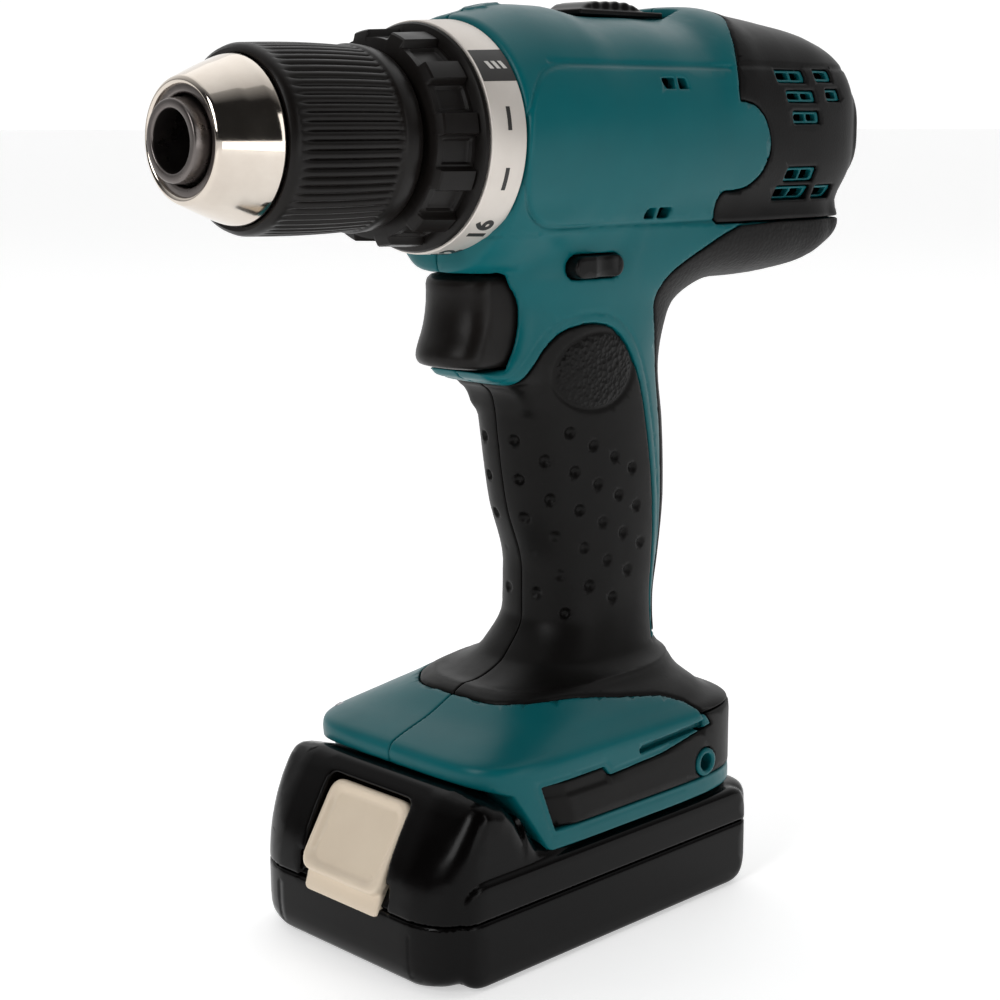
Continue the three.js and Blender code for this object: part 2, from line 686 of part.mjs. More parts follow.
function armature() {
  const { shaftR, coreR, shaftEnd } = MOTOR;
  const shaft = rodX(STAGE_1.planets[0], shaftEnd, shaftR, 0, AXIS_Z, 12);
  const slots = Array.from({ length: 6 }, (_, i) => {
    const angle = (2 * Math.PI * i) / 6;
    return rodX(25, 71, 2.2, 13.6 * Math.cos(angle), AXIS_Z + 13.6 * Math.sin(angle), 4);
  });
  const core = cut(rodX(26, 70, coreR, 0, AXIS_Z, 24), ...slots);
  const coils = unite(rodX(21.4, 26.1, 11, 0, AXIS_Z, 16), rodX(69.9, 75, 11, 0, AXIS_Z, 16));
  const commutator = rodX(75, 87, 7, 0, AXIS_Z, 16);
  return [['armature', unite(shaft, core, coils, commutator, sunGear(...STAGE_1.planets)), COPPER]];
}

function motorFan() {
  const boreR = MOTOR.shaftR + GAP;
  const hub = turned([[88, boreR], [88, 16.8], [89.2, 16.8], [90, 6], [93.8, 5], [93.8, boreR]], 16);
  const blades = Array.from({ length: 7 }, (_, i) => {
    const blade = box(89, 93.6, 4.5, 16.6, AXIS_Z - 0.6, AXIS_Z + 0.6);
    return blade.translate(0, 0, -AXIS_Z).rotate((360 * i) / 7, 0, 0).translate(0, 0, AXIS_Z);
  });
  return [['motor_fan', unite(hub, ...blades), BLACK]];
}

// ---------------------------------------------------------------- chuck

// Which way a jaw closes: [along X, along the radius].
const JAW_DIRECTION = [-Math.cos(CHUCK.jawTilt), -Math.sin(CHUCK.jawTilt)];

function jawAxisPoint(along) {
  return [CLOSED_TIP.x - along * JAW_DIRECTION[0], CLOSED_TIP.r - along * JAW_DIRECTION[1]];
}

// A round bar on the upper jaw's sloping axis, between two distances behind the closed tip.
function slopingRod(from, to, r, sides) {
  const geometry = new THREE.CylinderGeometry(r, r, to - from, sides);
  geometry.rotateZ(-Math.PI / 2);
  geometry.rotateY(-CHUCK.jawTilt);
  const [x, radius] = jawAxisPoint((from + to) / 2);
  geometry.translate(x, 0, AXIS_Z + radius);
  return solid(geometry);
}

function aboutAxis(part, degrees) {
  return part.translate(0, 0, -AXIS_Z).rotate(degrees, 0, 0).translate(0, 0, AXIS_Z);
}

function openJaw() {
  const edgeZ = AXIS_Z + 0.6;
  const wedge = plateX([
    [0, edgeZ], [-26, edgeZ + 15], [-26, edgeZ + 30], [26, edgeZ + 30], [26, edgeZ + 15],
  ], -120, -40);
  const gripFace = box(-120, -40, -20, 20, AXIS_Z + 0.75, AXIS_Z + 40);
  const shut = slopingRod(0, JAW_LENGTH, CHUCK.jawR, 8).intersect(wedge).intersect(gripFace);
  const [dx, dr] = JAW_DIRECTION;
  const open = shut.translate(-dx * JAW_TRAVEL, 0, -dr * JAW_TRAVEL);
  return open.intersect(turned([[-120, 0], [-120, 18.2], [-40, 18.2], [-40, 0]]));
}

function chuckJaws() {
  return [0, 1, 2].map((i) => [`chuck_jaw_${i + 1}`, aboutAxis(openJaw(), 120 * i), DARK_STEEL]);
}

function chuckBody() {
  const { boreR, noseR, rearX } = CHUCK;
  const body = turned([
    [NOSE_X, boreR], [NOSE_X, noseR - 0.4], [NOSE_X + 0.5, noseR], [-95, 9.6], [-91, 11],
    [-84.6, 13], [-82, 14.2], [-81, 12.2], [-72.6, 12.2], [-72.4, 17.4], [rearX, 17.4], [rearX, 6.2],
    [-61, 6.2], [-61, 3.1], [-64, 3.1], [-64, boreR],
  ], 24);
  const jawHole = slopingRod(-6, 56, CHUCK.jawR + 0.4, 8);
  const jawHoles = [0, 120, 240].map((degrees) => aboutAxis(jawHole, degrees));
  return [['chuck_body', cut(body, ...jawHoles), DARK_STEEL]];
}

function chuckScrew() {
  const head = cut(rodX(-67.8, -64.3, 4.6, 0, AXIS_Z, 16), rodX(-69, -66, 2, 0, AXIS_Z, 6));
  return [['chuck_screw', unite(head, rodX(-64.4, -50, 2.7, 0, AXIS_Z, 10)), DARK_STEEL]];
}

function jawNut() {
  return [['jaw_nut', turned([[-80.6, 13.4], [-80.6, 17.2], [-79, 18.5], [-73, 18.5], [-73, 15.4]]), STEEL]];
}

function sleeveNose() {
  const profile = [[-97, 11.7], [-97.5, 12.4], [-97.1, 13.1], [-83.4, 18.6], [-84.4, 16.2]];
  return [['sleeve_nose', turned(profile, 30), CHROME]];
}

function chuckSleeve() {
  const { frontX, rearX, r, innerR, ribs, ribDepth } = SLEEVE;
  const tube = turned([
    [frontX, 19], [-81, 20.6], [-77.6, r], [-50, r], [rearX + 1, 20.9], [rearX, 20.2], [rearX, 17.9],
    [-48.4, 17.9], [-48.4, innerR], [-81.6, innerR], [frontX + 0.2, 18.4],
  ], 2 * ribs);
  const grooves = Array.from({ length: ribs }, (_, i) => {
    const angle = (2 * Math.PI * (i + 0.5)) / ribs;
    const [y, z] = [(r + 0.2) * Math.cos(angle), AXIS_Z + (r + 0.2) * Math.sin(angle)];
    return rodX(-80, -53, ribDepth + 0.2, y, z, 4);
  });
  return [['chuck_sleeve', cut(tube, ...grooves), BLACK]];
}

// ---------------------------------------------------------------- torque ring

function torqueRing() {
  const { frontX, bandX, rearX, bodyR, finR } = RING;
  const { count, firstAngle, baseHalf, tipHalf } = FINS;
  const body = turned([
    [frontX, 15], [frontX, 21.2], [frontX + 1, bodyR], [bandX - 0.8, bodyR + 0.6],
    [bandX - 0.8, 26.2], [bandX, 26.8], [bandX, 23.8], [rearX - 0.2, 23.8], [rearX - 0.2, 19.4],
    [-42.8, 19.4], [-42.8, 15],
  ], 24);
  const blades = Array.from({ length: count }, (_, i) => {
    const outline = [
      [-baseHalf, AXIS_Z + 20], [baseHalf, AXIS_Z + 20], [tipHalf, AXIS_Z + finR], [-tipHalf, AXIS_Z + finR],
    ];
    return aboutAxis(plateX(outline, frontX + 0.6, bandX - 0.6), firstAngle + (360 * i) / count);
  });
  return [['torque_ring', unite(body, ...blades), BLACK]];
}

function scaleBand() {
  const { bandX, rearX, bandR } = RING;
  const x0 = bandX + GAP;
  return [['scale_band', turned([[x0, 24.1], [x0, 26.9], [rearX, bandR], [rearX, 24.1]], 36), SILVER]];
}

// ---------------------------------------------------------------- controls

const TRIGGER_OUTLINE = [
  [-22.4, 165.8], [-22.3, 158], [-23.4, 152.4], [-25.8, 147], [-26, 144.8], [-24.6, 143],
  [-17.6, 142.6], [-8, 143.2],
  [-4, 143.4], [-4, 163.2], [-7, 163.2], [-12, 165.4],
];

function trigger() {
  const body = plateY(TRIGGER_OUTLINE, -TRIGGER.half, TRIGGER.half);
  const corner = [[-28, 12], [-28, 7], [-24.6, 7.4], [-21, 9.4], [-19, 12]];
  const roundOff = [-1, 1].map((side) => plateZ(corner.map(([x, y]) => [x, side * y]), 140, 170));
  const pocket = rodX(-18, -3, 3.7, 0, 154, 12);
  return [['trigger', cut(body, ...roundOff, pocket), BLACK]];
}

function triggerSwitch() {
  const body = box(3, 36, -9.6, 9.6, 142.4, 161.6);
  const spigot = rodX(-2, 3.1, 1.6, 0, 154, 10);
  return [['trigger_switch', unite(body, spigot), CASE_GREY]];
}

function reverseLever() {
  const { front, rear, bottom, top, half } = LEVER;
  return [['reverse_lever', plateY(capsule(front, rear, bottom, top), -half, half), BLACK]];
}

function speedSelector() {
  const { front, rear, half, floor } = SELECTOR;
  const plate = box(front, rear, -half, half, floor + GAP, floor + 1.5);
  const ridges = [23, 27.4, 31.8, 36.2].map((x) => box(x, x + 2.6, -half + 1, half - 1, floor + 1.4, 231.5));
  const stem = box(27, 40, -4, 4, 223.6, floor + 0.4);
  const arm = box(FORK.front, 30, -2.4, 2.4, 222.7, 223.9);
  const fork = box(FORK.front, FORK.rear, -FORK.half, FORK.half, AXIS_Z + FORK.footR, 222.8);
  return [['speed_selector', unite(plate, ...ridges, stem, arm, fork), BLACK]];
}

// ---------------------------------------------------------------- battery

function batteryPlan(inset) {
  const [x, y] = [BATTERY.length / 2 - inset, BATTERY.width / 2 - inset];
  const [f, r] = [BATTERY.cornerFront - inset, BATTERY.cornerRear - inset];
  return [
    ...arc(x - r, y - r, r, 0, 90, 4), ...arc(-x + f, y - f, f, 90, 180, 5),
    ...arc(-x + f, -y + f, f, 180, 270, 5), ...arc(x - r, -y + r, r, 270, 360, 4),
  ];
}

const LOWER_PROFILE = [
  [-58.9, 17.2], [-58.3, 5], [-55.5, 1], [-51, 0], [47, 0], [54, 2.4], [58, 8], [58.9, 17.2],
];
const UPPER_PROFILE = [
  [-58.9, 17.5], [58.9, 17.5], [58.6, 25], [56, 27.6], [-22.6, 27.6], [-32.6, 43.4],
  [-41.6, 46.7], [-45.4, 45.4],
];
const BUTTON_SLOPE = Math.atan2(45.4 - 17.5, 58.9 - 45.4); // tilt of the battery's front face from level

function buttonFrame(geometry) {
  return geometry.rotateY(-BUTTON_SLOPE).translate(-52.2, 0, 31.4);
}

// A slab lying in the sloping front face: its length runs down the slope, its thickness stands out of it.
function slopeSlab(down0, down1, half, out0, out1) {
  const slab = new THREE.BoxGeometry(down1 - down0, 2 * half, out1 - out0);
  return solid(buttonFrame(slab.translate(-(down0 + down1) / 2, 0, (out0 + out1) / 2)));
}

function batteryLower() {
  const outer = plateY(LOWER_PROFILE, -40, 40).intersect(plateZ(batteryPlan(0), 0, BATTERY.split));
  const innerPlan = plateZ(batteryPlan(2.2), 1, 30);
  const inner = plateY(shrunk(LOWER_PROFILE, 2), -40, 40).intersect(innerPlan);
  const upward = box(-50, 50, -35, 35, 10, 30).intersect(innerPlan);
  const notch = slopeSlab(0, 25, BUTTON.half + 0.6, -5, 8).intersect(box(-70, -40, -20, 20, 10.5, 20));
  return [['battery_case_lower', cut(outer, inner, upward, notch), BATTERY_BLACK]];
}

function railBlock(grow, z0) {
  const { rear, neckHalf, headHalf, neckTop, top } = RAIL;
  return unite(
    box(-32, rear + grow, -neckHalf - grow, neckHalf + grow, z0, neckTop + 0.1),
    box(-36, rear + grow, -headHalf - grow, headHalf + grow, neckTop - grow, top + grow),
  );
}

function batteryUpper() {
  const head = plateY(UPPER_PROFILE, -40, 40).intersect(plateZ(batteryPlan(0), 10, 60));
  const innerHead = plateY(shrunk(UPPER_PROFILE, 2.2), -40, 40).intersect(plateZ(batteryPlan(2.4), 10, 60));
  const openBottom = box(-54, 54, -33, 33, 17, 21);
  const innerRail = railBlock(-2, 24);
  const slots = BLADE_Y.map((y) => box(8, RAIL.rear + 2, y - 1.4, y + 1.4, 36, RAIL.top + 1));
  const buttonWell = slopeSlab(-15.4, 24, BUTTON.half + 0.5, -4.2, 6);
  const hollows = [innerHead, openBottom, innerRail, ...slots, buttonWell];
  return [['battery_case_upper', cut(unite(head, railBlock(0, 26)), ...hollows), BATTERY_BLACK]];
}

function batteryButton() {
  const plate = slopeSlab(-14.6, 14.8, BUTTON.half, -2.4, 0.8);
  const dish = slopeSlab(-12, 10, BUTTON.half - 2.6, 0.1, 2);
  const foot = slopeSlab(-12, -8, 8, -9, -2.3);
  return [['battery_button', cut(unite(plate, foot), dish), BEIGE]];
}

function batteryCells() {
  return Array.from({ length: CELL.count }, (_, i) => {
    const x = (i - (CELL.count - 1) / 2) * CELL.pitch;
    return [`cell_${i + 1}`, rodY(-CELL.length / 2, CELL.length / 2, CELL.r, x, CELL.z, 20), CELL_GREEN];
  });
}

function batteryBoard() {
  return [['battery_pcb', box(-18, 44, -14, 14, 22.4, 24), PCB_GREEN]];
}

function terminalBlock() {
  const block = box(11, 35, -16, 16, 44, 48.5);
  const blades = BLADE_Y.map((y) => box(15, 30, y - 0.5, y + 0.5, 37, 44.1));
  return [['terminal_block', unite(block, ...blades), CASE_GREY]];
}

// ---------------------------------------------------------------- the whole drill

function springs() {
  const [sx, sz] = [-38.5, 25.2];
  return [
    ['clutch_spring', spring([-41, 0, AXIS_Z], [-24, 0, AXIS_Z], 16.2, 1.1, 5), STEEL],
    ['trigger_spring', spring([-10.6, 0, 154], [2, 0, 154], 2.5, 0.4, 5), STEEL],
    ['latch_spring', spring([sx - 2, 0, sz], [sx + 8, 0, sz], 2.6, 0.45, 5), STEEL],
  ];
}

const PIECES = [
  ...housing(), ...rearCover(), ...softSkins(),
  ...gearCase(), ['ring_gear_1', ringGear(STAGE_1.ring), STEEL], ...motorCan(), ...brushRing(),
  ...triggerSwitch(), ...terminalBlock(), ...bearings(), ...housingScrews(), ...coverScrews(),
  ...batteryUpper(), ...batteryLower(), ...batteryCells(), ...batteryBoard(), ...batteryButton(),
  ...spindle(), ...chuckBody(), ...chuckScrew(), ...chuckSleeve(), ...sleeveNose(), ...jawNut(),
  ...chuckJaws(),
  ...torqueRing(), ...scaleBand(),
  ...planets(STAGE_1, 1), ['carrier_1', firstCarrier(), STEEL], ...planets(STAGE_2, 2),
  ['ring_gear_2', shiftingRing(), STEEL],
  ...armature(), ...motorFan(),
  ...speedSelector(), ...trigger(), ...reverseLever(), ...springs(),
];

function asMesh([name, body, material]) {
  const { vertProperties, triVerts } = body.getMesh();
  const geometry = new THREE.BufferGeometry();
  geometry.setAttribute('position', new THREE.BufferAttribute(Float32Array.from(vertProperties), 3));
  geometry.setIndex(new THREE.BufferAttribute(Uint32Array.from(triVerts), 1));
  geometry.computeVertexNormals();
  const mesh = new THREE.Mesh(geometry, material);
  mesh.name = name;
  return mesh;
}

const drill = new THREE.Group();
drill.add(...PIECES.map(asMesh));

export default drill;
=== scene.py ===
import json
import math

import bpy
import numpy as np
import openvdb
from mathutils import Matrix, Vector


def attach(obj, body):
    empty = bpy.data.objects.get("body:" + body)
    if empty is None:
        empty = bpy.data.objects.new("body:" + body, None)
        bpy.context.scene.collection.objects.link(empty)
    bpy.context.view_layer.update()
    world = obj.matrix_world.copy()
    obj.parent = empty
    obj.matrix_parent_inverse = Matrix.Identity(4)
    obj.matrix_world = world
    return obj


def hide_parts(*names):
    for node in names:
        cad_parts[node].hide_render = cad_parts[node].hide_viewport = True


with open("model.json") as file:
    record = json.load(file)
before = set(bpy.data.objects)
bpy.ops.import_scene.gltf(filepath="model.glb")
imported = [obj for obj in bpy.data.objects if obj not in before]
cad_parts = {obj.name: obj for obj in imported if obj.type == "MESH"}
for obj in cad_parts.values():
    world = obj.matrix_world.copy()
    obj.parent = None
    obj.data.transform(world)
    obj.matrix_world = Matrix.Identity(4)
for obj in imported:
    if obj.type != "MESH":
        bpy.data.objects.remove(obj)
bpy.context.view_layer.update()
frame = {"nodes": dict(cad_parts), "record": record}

# Shapes are worked out in millimetres and made in metres. The chuck points along -x.
# The left side is y < 0, and the right side mirrors it.

MM = 0.001
AXIS_Z = 198.0                      # height of the spindle's axis
SEAM = 0.08                         # half the gap between the left and the right pieces
GAP = 0.3                           # gap round a soft piece that is let into the casing
RUBBER = 1.5                        # thickness of the soft pieces
WALL = 3.0                          # thickness of the casing
FINE = 0.5   # spacing of the samples of a large piece
DENSE = FINE * 0.7                  # spacing of the samples of a small or finely marked piece
BAND = 4.0                          # distances beyond this are all the same
FAR = 40.0                          # added to a distance where a groove or an edge must not act
BUTTON_SLOPE = math.radians(58.6)   # how steeply the battery's front face leans
RING_PHASE = 21.85                  # degrees from the torque ring's first grip to its start

# Sections along the barrel: (x, top z, bottom z, half width, squareness).
BARREL = [
    (-20.4, 226.6, 169.8, 28.1, 2.0), (-6, 229.6, 169.7, 28.9, 2.1), (4, 229.8, 169.6, 29.3, 2.2),
    (14, 228.2, 169.6, 29.6, 2.3), (32, 228.0, 170, 30, 2.5), (46, 228.2, 170.8, 30.1, 2.5),
    (54, 231.0, 171.4, 30.2, 2.6),
    (59, 231.4, 171.6, 30.2, 2.7), (66, 230.2, 172.2, 30.1, 2.8), (78, 228.6, 173, 29.9, 3.0),
    (95, 225.4, 175, 29.0, 3.4), (104, 221.9, 178, 27.7, 3.4), (108, 218.2, 181, 26.2, 3.2),
    (111.4, 212.6, 185.4, 23.6, 2.8), (114.2, 203.4, 194.6, 8, 2.2),
]
LOWER_REAR = [
    (26, 186, 166, 20, 2.4), (40, 186, 160.8, 24.5, 2.3), (60, 186, 160.2, 26.9, 2.3),
    (84, 186, 160.8, 27.4, 2.4), (97, 184, 163.4, 26.6, 2.4), (106, 181, 170, 22, 2.2),
    (109.2, 178.4, 174.2, 13, 2.0),
]

# Sections up the handle and the foot: (z, front x, rear x, half width, squareness).
HANDLE = [
    (44, 2, 42, 16, 2.4), (60, -8, 48, 22, 2.5), (66, -2, 46.6, 19, 2.5), (76, 4.6, 47.4, 16.6, 2.4),
    (88, 4.6, 49.7, 16.3, 2.4), (106, -0.9, 52.2, 16.5, 2.4), (124, -4, 51.3, 16.8, 2.4),
    (140, -5.8, 48.6, 17.4, 2.5), (155, -8, 52, 18.7, 2.6), (165, -16, 58.4, 20.5, 2.6),
    (184, -14, 54, 20, 2.6),
]
TRIGGER_CHEEKS = [
    (138, -8, 36, 13, 4), (141, -15.5, 36, 13.6, 5), (144, -14.5, 36, 14, 5), (148, -12, 36, 14.4, 5),
    (153, -10.3, 36, 14.8, 5), (160, -10, 36, 15.4, 5), (166, -12, 36, 16, 5), (172, -16, 36, 16, 5),
]
CHIN = [
    (166.3, -22.2, 10, 12.5, 3), (168, -23.2, 10, 14.5, 3), (170, -23.4, 10, 16, 3),
    (176, -23.4, 10, 20, 3),
]
FOOT = [
    (28.6, -41.4, 57, 37.3, 5), (46.5, -41.4, 57, 37.3, 5), (51.0, -41.2, 56.6, 37.0, 5),
    (52.1, -40.2, 56.0, 36.2, 4.7), (53.6, -36.5, 52.6, 34.4, 4.2), (56.2, -28.5, 50.2, 31.4, 3.6),
    (59, -22.4, 48.6, 27.6, 3), (62, -16.4, 47.4, 23.8, 2.7),
]


# ---------- fields: distances sampled on a grid

class Grid:
    """Sample points of a box, spaced evenly, as three arrays that broadcast together."""

    def __init__(self, low, high, step):
        self.low = np.array(low, float)
        self.step = step
        axes = [np.arange(a, b + step, step, dtype=np.float32) for a, b in zip(low, high)]
        self.x, self.y, self.z = np.meshgrid(*axes, indexing="ij", sparse=True)


def smooth_curve(xs, ys, at):
    """A curve through the points that doesn't overshoot them, read at many places."""
    xs, ys = np.asarray(xs, float), np.asarray(ys, float)
    widths = np.diff(xs)
    slopes = np.diff(ys) / widths
    tangents = np.concatenate([slopes[:1], (slopes[:-1] + slopes[1:]) / 2, slopes[-1:]])
    turning = slopes[:-1] * slopes[1:] <= 0
    tangents[1:-1][turning] = 0
    at = np.clip(at, xs[0], xs[-1])
    i = np.clip(np.searchsorted(xs, at) - 1, 0, len(xs) - 2)
    t = (at - xs[i]) / widths[i]
    start, end = ys[i] + t * 0, ys[i + 1]
    bend = t * (1 - t) * ((1 - t) * tangents[i] - t * tangents[i + 1]) * widths[i]
    return (start + (end - start) * t * t * (3 - 2 * t) + bend).astype(np.float32)


def blend_min(a, b, k):
    """The union of two fields, with the corner between them rounded over a width k."""
    h = np.maximum(k - np.abs(a - b), 0) / k
    return np.minimum(a, b) - h * h * k / 4


def blend_max(a, b, k):
    """What two fields share, with the corner between them rounded over a width k."""
    return -blend_min(-a, -b, k)


def distance_like(field, step):
    """Scales a field by its own slope, so that near its surface it reads as a distance."""
    slope = np.sqrt(sum(part * part for part in np.gradient(field, step)))
    return field / np.clip(slope, 0.3, 3)


def ring_field(u, v, half_u, half_v, power):
    """A superellipse: power 2 is an ellipse, and a higher power is squarer."""
    ring = (np.abs(u / half_u) ** power + np.abs(v / half_v) ** power) ** (1 / power)
    return (ring - 1) * np.minimum(half_u, half_v)


def loft_x(grid, stations, cap):
    xs, *columns = zip(*stations)
    top, bottom, half, power = (smooth_curve(xs, c, grid.x) for c in columns)
    side = ring_field(grid.y, grid.z - (top + bottom) / 2, half, (top - bottom) / 2, power)
    ends = np.maximum(xs[0] - grid.x, grid.x - xs[-1])
    return blend_max(distance_like(side, grid.step), ends, cap)


def loft_z(grid, stations, cap):
    zs, *columns = zip(*stations)
    front, rear, half, power = (smooth_curve(zs, c, grid.z) for c in columns)
    side = ring_field(grid.x - (front + rear) / 2, grid.y, (rear - front) / 2, half, power)
    ends = np.maximum(zs[0] - grid.z, grid.z - zs[-1])
    return blend_max(distance_like(side, grid.step), ends, cap)


def rounded(outline, rounds=2):
    """Cuts the corners of a closed outline again and again, which rounds it."""
    points = np.array(outline, float)
    cut = 0.22
    for _ in range(rounds):
        after = np.roll(points, -1, axis=0)
        near, far = (1 - cut) * points + cut * after, cut * points + (1 - cut) * after
        points = np.stack([near, far], 1).reshape(-1, 2)
    return points


def outline_field(u, v, outline):
    """Signed distance from every (u, v) to a closed outline, negative inside it."""
    nearest = np.full(np.broadcast(u, v).shape, 1e9, np.float32)
    inside = np.zeros(nearest.shape, bool)
    points = np.asarray(outline, float)
    for (au, av), (bu, bv) in zip(points, np.roll(points, -1, axis=0)):
        eu, ev = bu - au, bv - av
        t = np.clip(((u - au) * eu + (v - av) * ev) / max(eu * eu + ev * ev, 1e-9), 0, 1)
        nearest = np.minimum(nearest, (u - au - t * eu) ** 2 + (v - av - t * ev) ** 2)
        if av != bv:
            crossing = ((av > v) != (bv > v)) & (u < au + (v - av) / (bv - av) * eu)
            inside ^= crossing
    return np.where(inside, -1, 1).astype(np.float32) * np.sqrt(nearest)


def box_field(grid, x0, x1, y0, y1, z0, z1):
    faces = (x0 - grid.x, grid.x - x1, y0 - grid.y, grid.y - y1, z0 - grid.z, grid.z - z1)
    field = faces[0]
    for face in faces[1:]:
        field = np.maximum(field, face)
    return field


def capsule_field(u, v, u0, u1, v0, v1):
    """A slot with round ends, as long as u0 to u1 and as wide as v0 to v1."""
    r = (v1 - v0) / 2
    along = u - np.clip(u, u0 + r, u1 - r)
    return np.sqrt(along ** 2 + (v - (v0 + v1) / 2) ** 2) - r


def groove(field, line, width, depth):
    """Sinks the surface by a depth where line, a distance, is near zero."""
    return field + depth * np.exp(-((line / width) ** 2))


def pressed(field, grid, centre, radius, depth):
    """Sinks a round hollow of that radius and depth about a centre on the surface."""
    cx, cy, cz = centre
    steepness = 1.35
    away = (grid.x - cx) ** 2 + (grid.y - cy) ** 2 + (grid.z - cz) ** 2
    return field + depth * np.clip(steepness * (1 - away / radius ** 2), 0, 1)


# ---------- meshes

def sample(field, places):
    """Reads a field between its samples, at places in grid steps."""
    top = np.array(field.shape) - 1.001
    places = np.clip(places, 0, top)
    cell = places.astype(int)
    part = places - cell
    total = np.zeros(len(places))
    for corner in np.ndindex(2, 2, 2):
        weight = np.prod(np.where(corner, part, 1 - part), axis=1)
        total += weight * field[tuple((cell + corner).T)]
    return total


def slopes_at(field, places, reach):
    """The field's slope at many places, measured over a reach to each side, in grid steps."""
    shifts = np.eye(3) * reach
    columns = [sample(field, places + s) - sample(field, places - s) for s in shifts]
    return np.stack(columns, 1) / (2 * reach)


def mesh_object(name, points, faces, normals=None):
    """A smooth mesh in the scene, from points in millimetres."""
    mesh = bpy.data.meshes.new(name)
    mesh.from_pydata((np.asarray(points) * MM).tolist(), [], [list(map(int, f)) for f in faces])
    mesh.validate()
    mesh.shade_smooth()
    if normals is not None:
        mesh.normals_split_custom_set_from_vertices(np.asarray(normals).tolist())
    piece = bpy.data.objects.new(name, mesh)
    bpy.context.scene.collection.objects.link(piece)
    return piece


def skin(name, grid, field, thrift=0.04, mirror=False, reach=0.9):
    """The surface where a field is zero, with its normals taken from the field's slope."""
    whole = np.broadcast(grid.x, grid.y, grid.z).shape
    field = np.ascontiguousarray(np.broadcast_to(field, whole), np.float32)
    volume = openvdb.FloatGrid(BAND)
    volume.copyFromArray(np.clip(field, -BAND, BAND))
    points, triangles, quads = volume.convertToPolygons(isovalue=0.0, adaptivity=thrift)
    points = np.asarray(points, float)
    flattest, steepest_nudge, furthest = 0.05, 0.6, 0.35
    slope = slopes_at(field, points, 0.5)
    steep = np.maximum((slope ** 2).sum(1), flattest * grid.step ** 2)
    nudge = np.clip(sample(field, points) / steep, -steepest_nudge / grid.step, steepest_nudge / grid.step)
    points = points - np.clip(slope * nudge[:, None], -furthest, furthest)
    normals = slopes_at(field, points, reach)
    normals /= np.maximum(np.linalg.norm(normals, axis=1), 1e-9)[:, None]
    points = points * grid.step + grid.low
    faces = [tuple(t) for t in triangles] + [tuple(q) for q in quads]
    a, b, c = (points[[f[i] for f in faces]] for i in range(3))
    outward = (np.cross(b - a, c - a) * normals[[f[0] for f in faces]]).sum()
    flip = outward < 0
    if mirror:
        points, normals = points * (1, -1, 1), normals * (1, -1, 1)
        flip = not flip
    if flip:
        faces = [f[::-1] for f in faces]
    return mesh_object(name, points, faces, normals)


def turned(name, profile, steps=160, ripple=None, closed=False):
    """A piece turned about the spindle's axis from (x, radius) points; ripple adds to the radius."""
    profile = np.array(profile, float)
    angle = np.linspace(0, 2 * math.pi, steps, endpoint=False)
    x, r = np.repeat(profile[:, :1], steps, 1), np.repeat(profile[:, 1:], steps, 1)
    if ripple:
        r = r + ripple(x, np.broadcast_to(angle, x.shape), r)
    points = np.stack([x, r * np.cos(angle), AXIS_Z + r * np.sin(angle)], 2).reshape(-1, 3)
    faces = []
    count = len(profile)
    for i in range(count if closed else count - 1):
        near, far = i * steps, ((i + 1) % count) * steps
        turns = [(j, (j + 1) % steps) for j in range(steps)]
        faces += [(near + j, far + j, far + k, near + k) for j, k in turns]
    piece = mesh_object(name, points, faces)
    piece.data.set_sharp_from_angle(angle=math.radians(38))
    return piece


def softened(profile, radius, arcs=3):
    """Rounds each corner of a closed profile, with an arc that takes less than half of each side."""
    points = np.array(profile, float)
    result = []
    for before, corner, after in zip(np.roll(points, 1, 0), points, np.roll(points, -1, 0)):
        to_before, to_after = before - corner, after - corner
        before_length, after_length = np.linalg.norm(to_before), np.linalg.norm(to_after)
        reach = min(radius, 0.45 * before_length, 0.45 * after_length)
        start = corner + to_before / before_length * reach
        end = corner + to_after / after_length * reach
        for t in np.linspace(0, 1, arcs + 1):
            result.append((1 - t) ** 2 * start + 2 * t * (1 - t) * corner + t * t * end)
    return result


def place(piece, body, slot, material, *nodes):
    """Gives a piece its material and the body that it moves with, and hides the CAD nodes that it stands
    for.
    """
    piece.data.materials.append(material)
    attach(piece, body)
    if nodes:
        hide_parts(*nodes)
    return piece


# ---------- materials

def new_material(name):
    material = bpy.data.materials.new(name)
    material.use_nodes = True
    nodes = material.node_tree.nodes
    return material, nodes, material.node_tree.links, nodes["Principled BSDF"]


def noise(nodes, links, coords, scale, detail=3.0, rough=0.6):
    texture = nodes.new("ShaderNodeTexNoise")
    texture.inputs["Scale"].default_value = scale
    texture.inputs["Detail"].default_value = detail
    texture.inputs["Roughness"].default_value = rough
    links.new(coords, texture.inputs["Vector"])
    return texture.outputs["Fac"]


def ranged(nodes, links, value, low, high, start=0.3, end=0.7):
    """Maps a value from start..end to low..high."""
    scale = nodes.new("ShaderNodeMapRange")
    for key, number in (("From Min", start), ("From Max", end), ("To Min", low), ("To Max", high)):
        scale.inputs[key].default_value = number
    links.new(value, scale.inputs["Value"])
    return scale.outputs["Result"]


def two_tone(nodes, links, value, dark, light):
    mix = nodes.new("ShaderNodeMix")
    mix.data_type = "RGBA"
    mix.inputs[6].default_value = (*dark, 1)
    mix.inputs[7].default_value = (*light, 1)
    links.new(value, mix.inputs[0])
    return mix.outputs[2]


def lay_finish(material_parts, tone, gloss, height, dark, light, rough, bump, deep, shine):
    """Drives a shader's colour, roughness and relief from three textures."""
    nodes, links, shader = material_parts
    colour = two_tone(nodes, links, ranged(nodes, links, tone, 0, 1), dark, light)
    links.new(colour, shader.inputs["Base Color"])
    links.new(ranged(nodes, links, gloss, *rough), shader.inputs["Roughness"])
    relief = nodes.new("ShaderNodeBump")
    relief.inputs["Strength"].default_value = bump
    relief.inputs["Distance"].default_value = deep
    links.new(height, relief.inputs["Height"])
    links.new(relief.outputs["Normal"], shader.inputs["Normal"])
    shader.inputs["Specular IOR Level"].default_value = shine


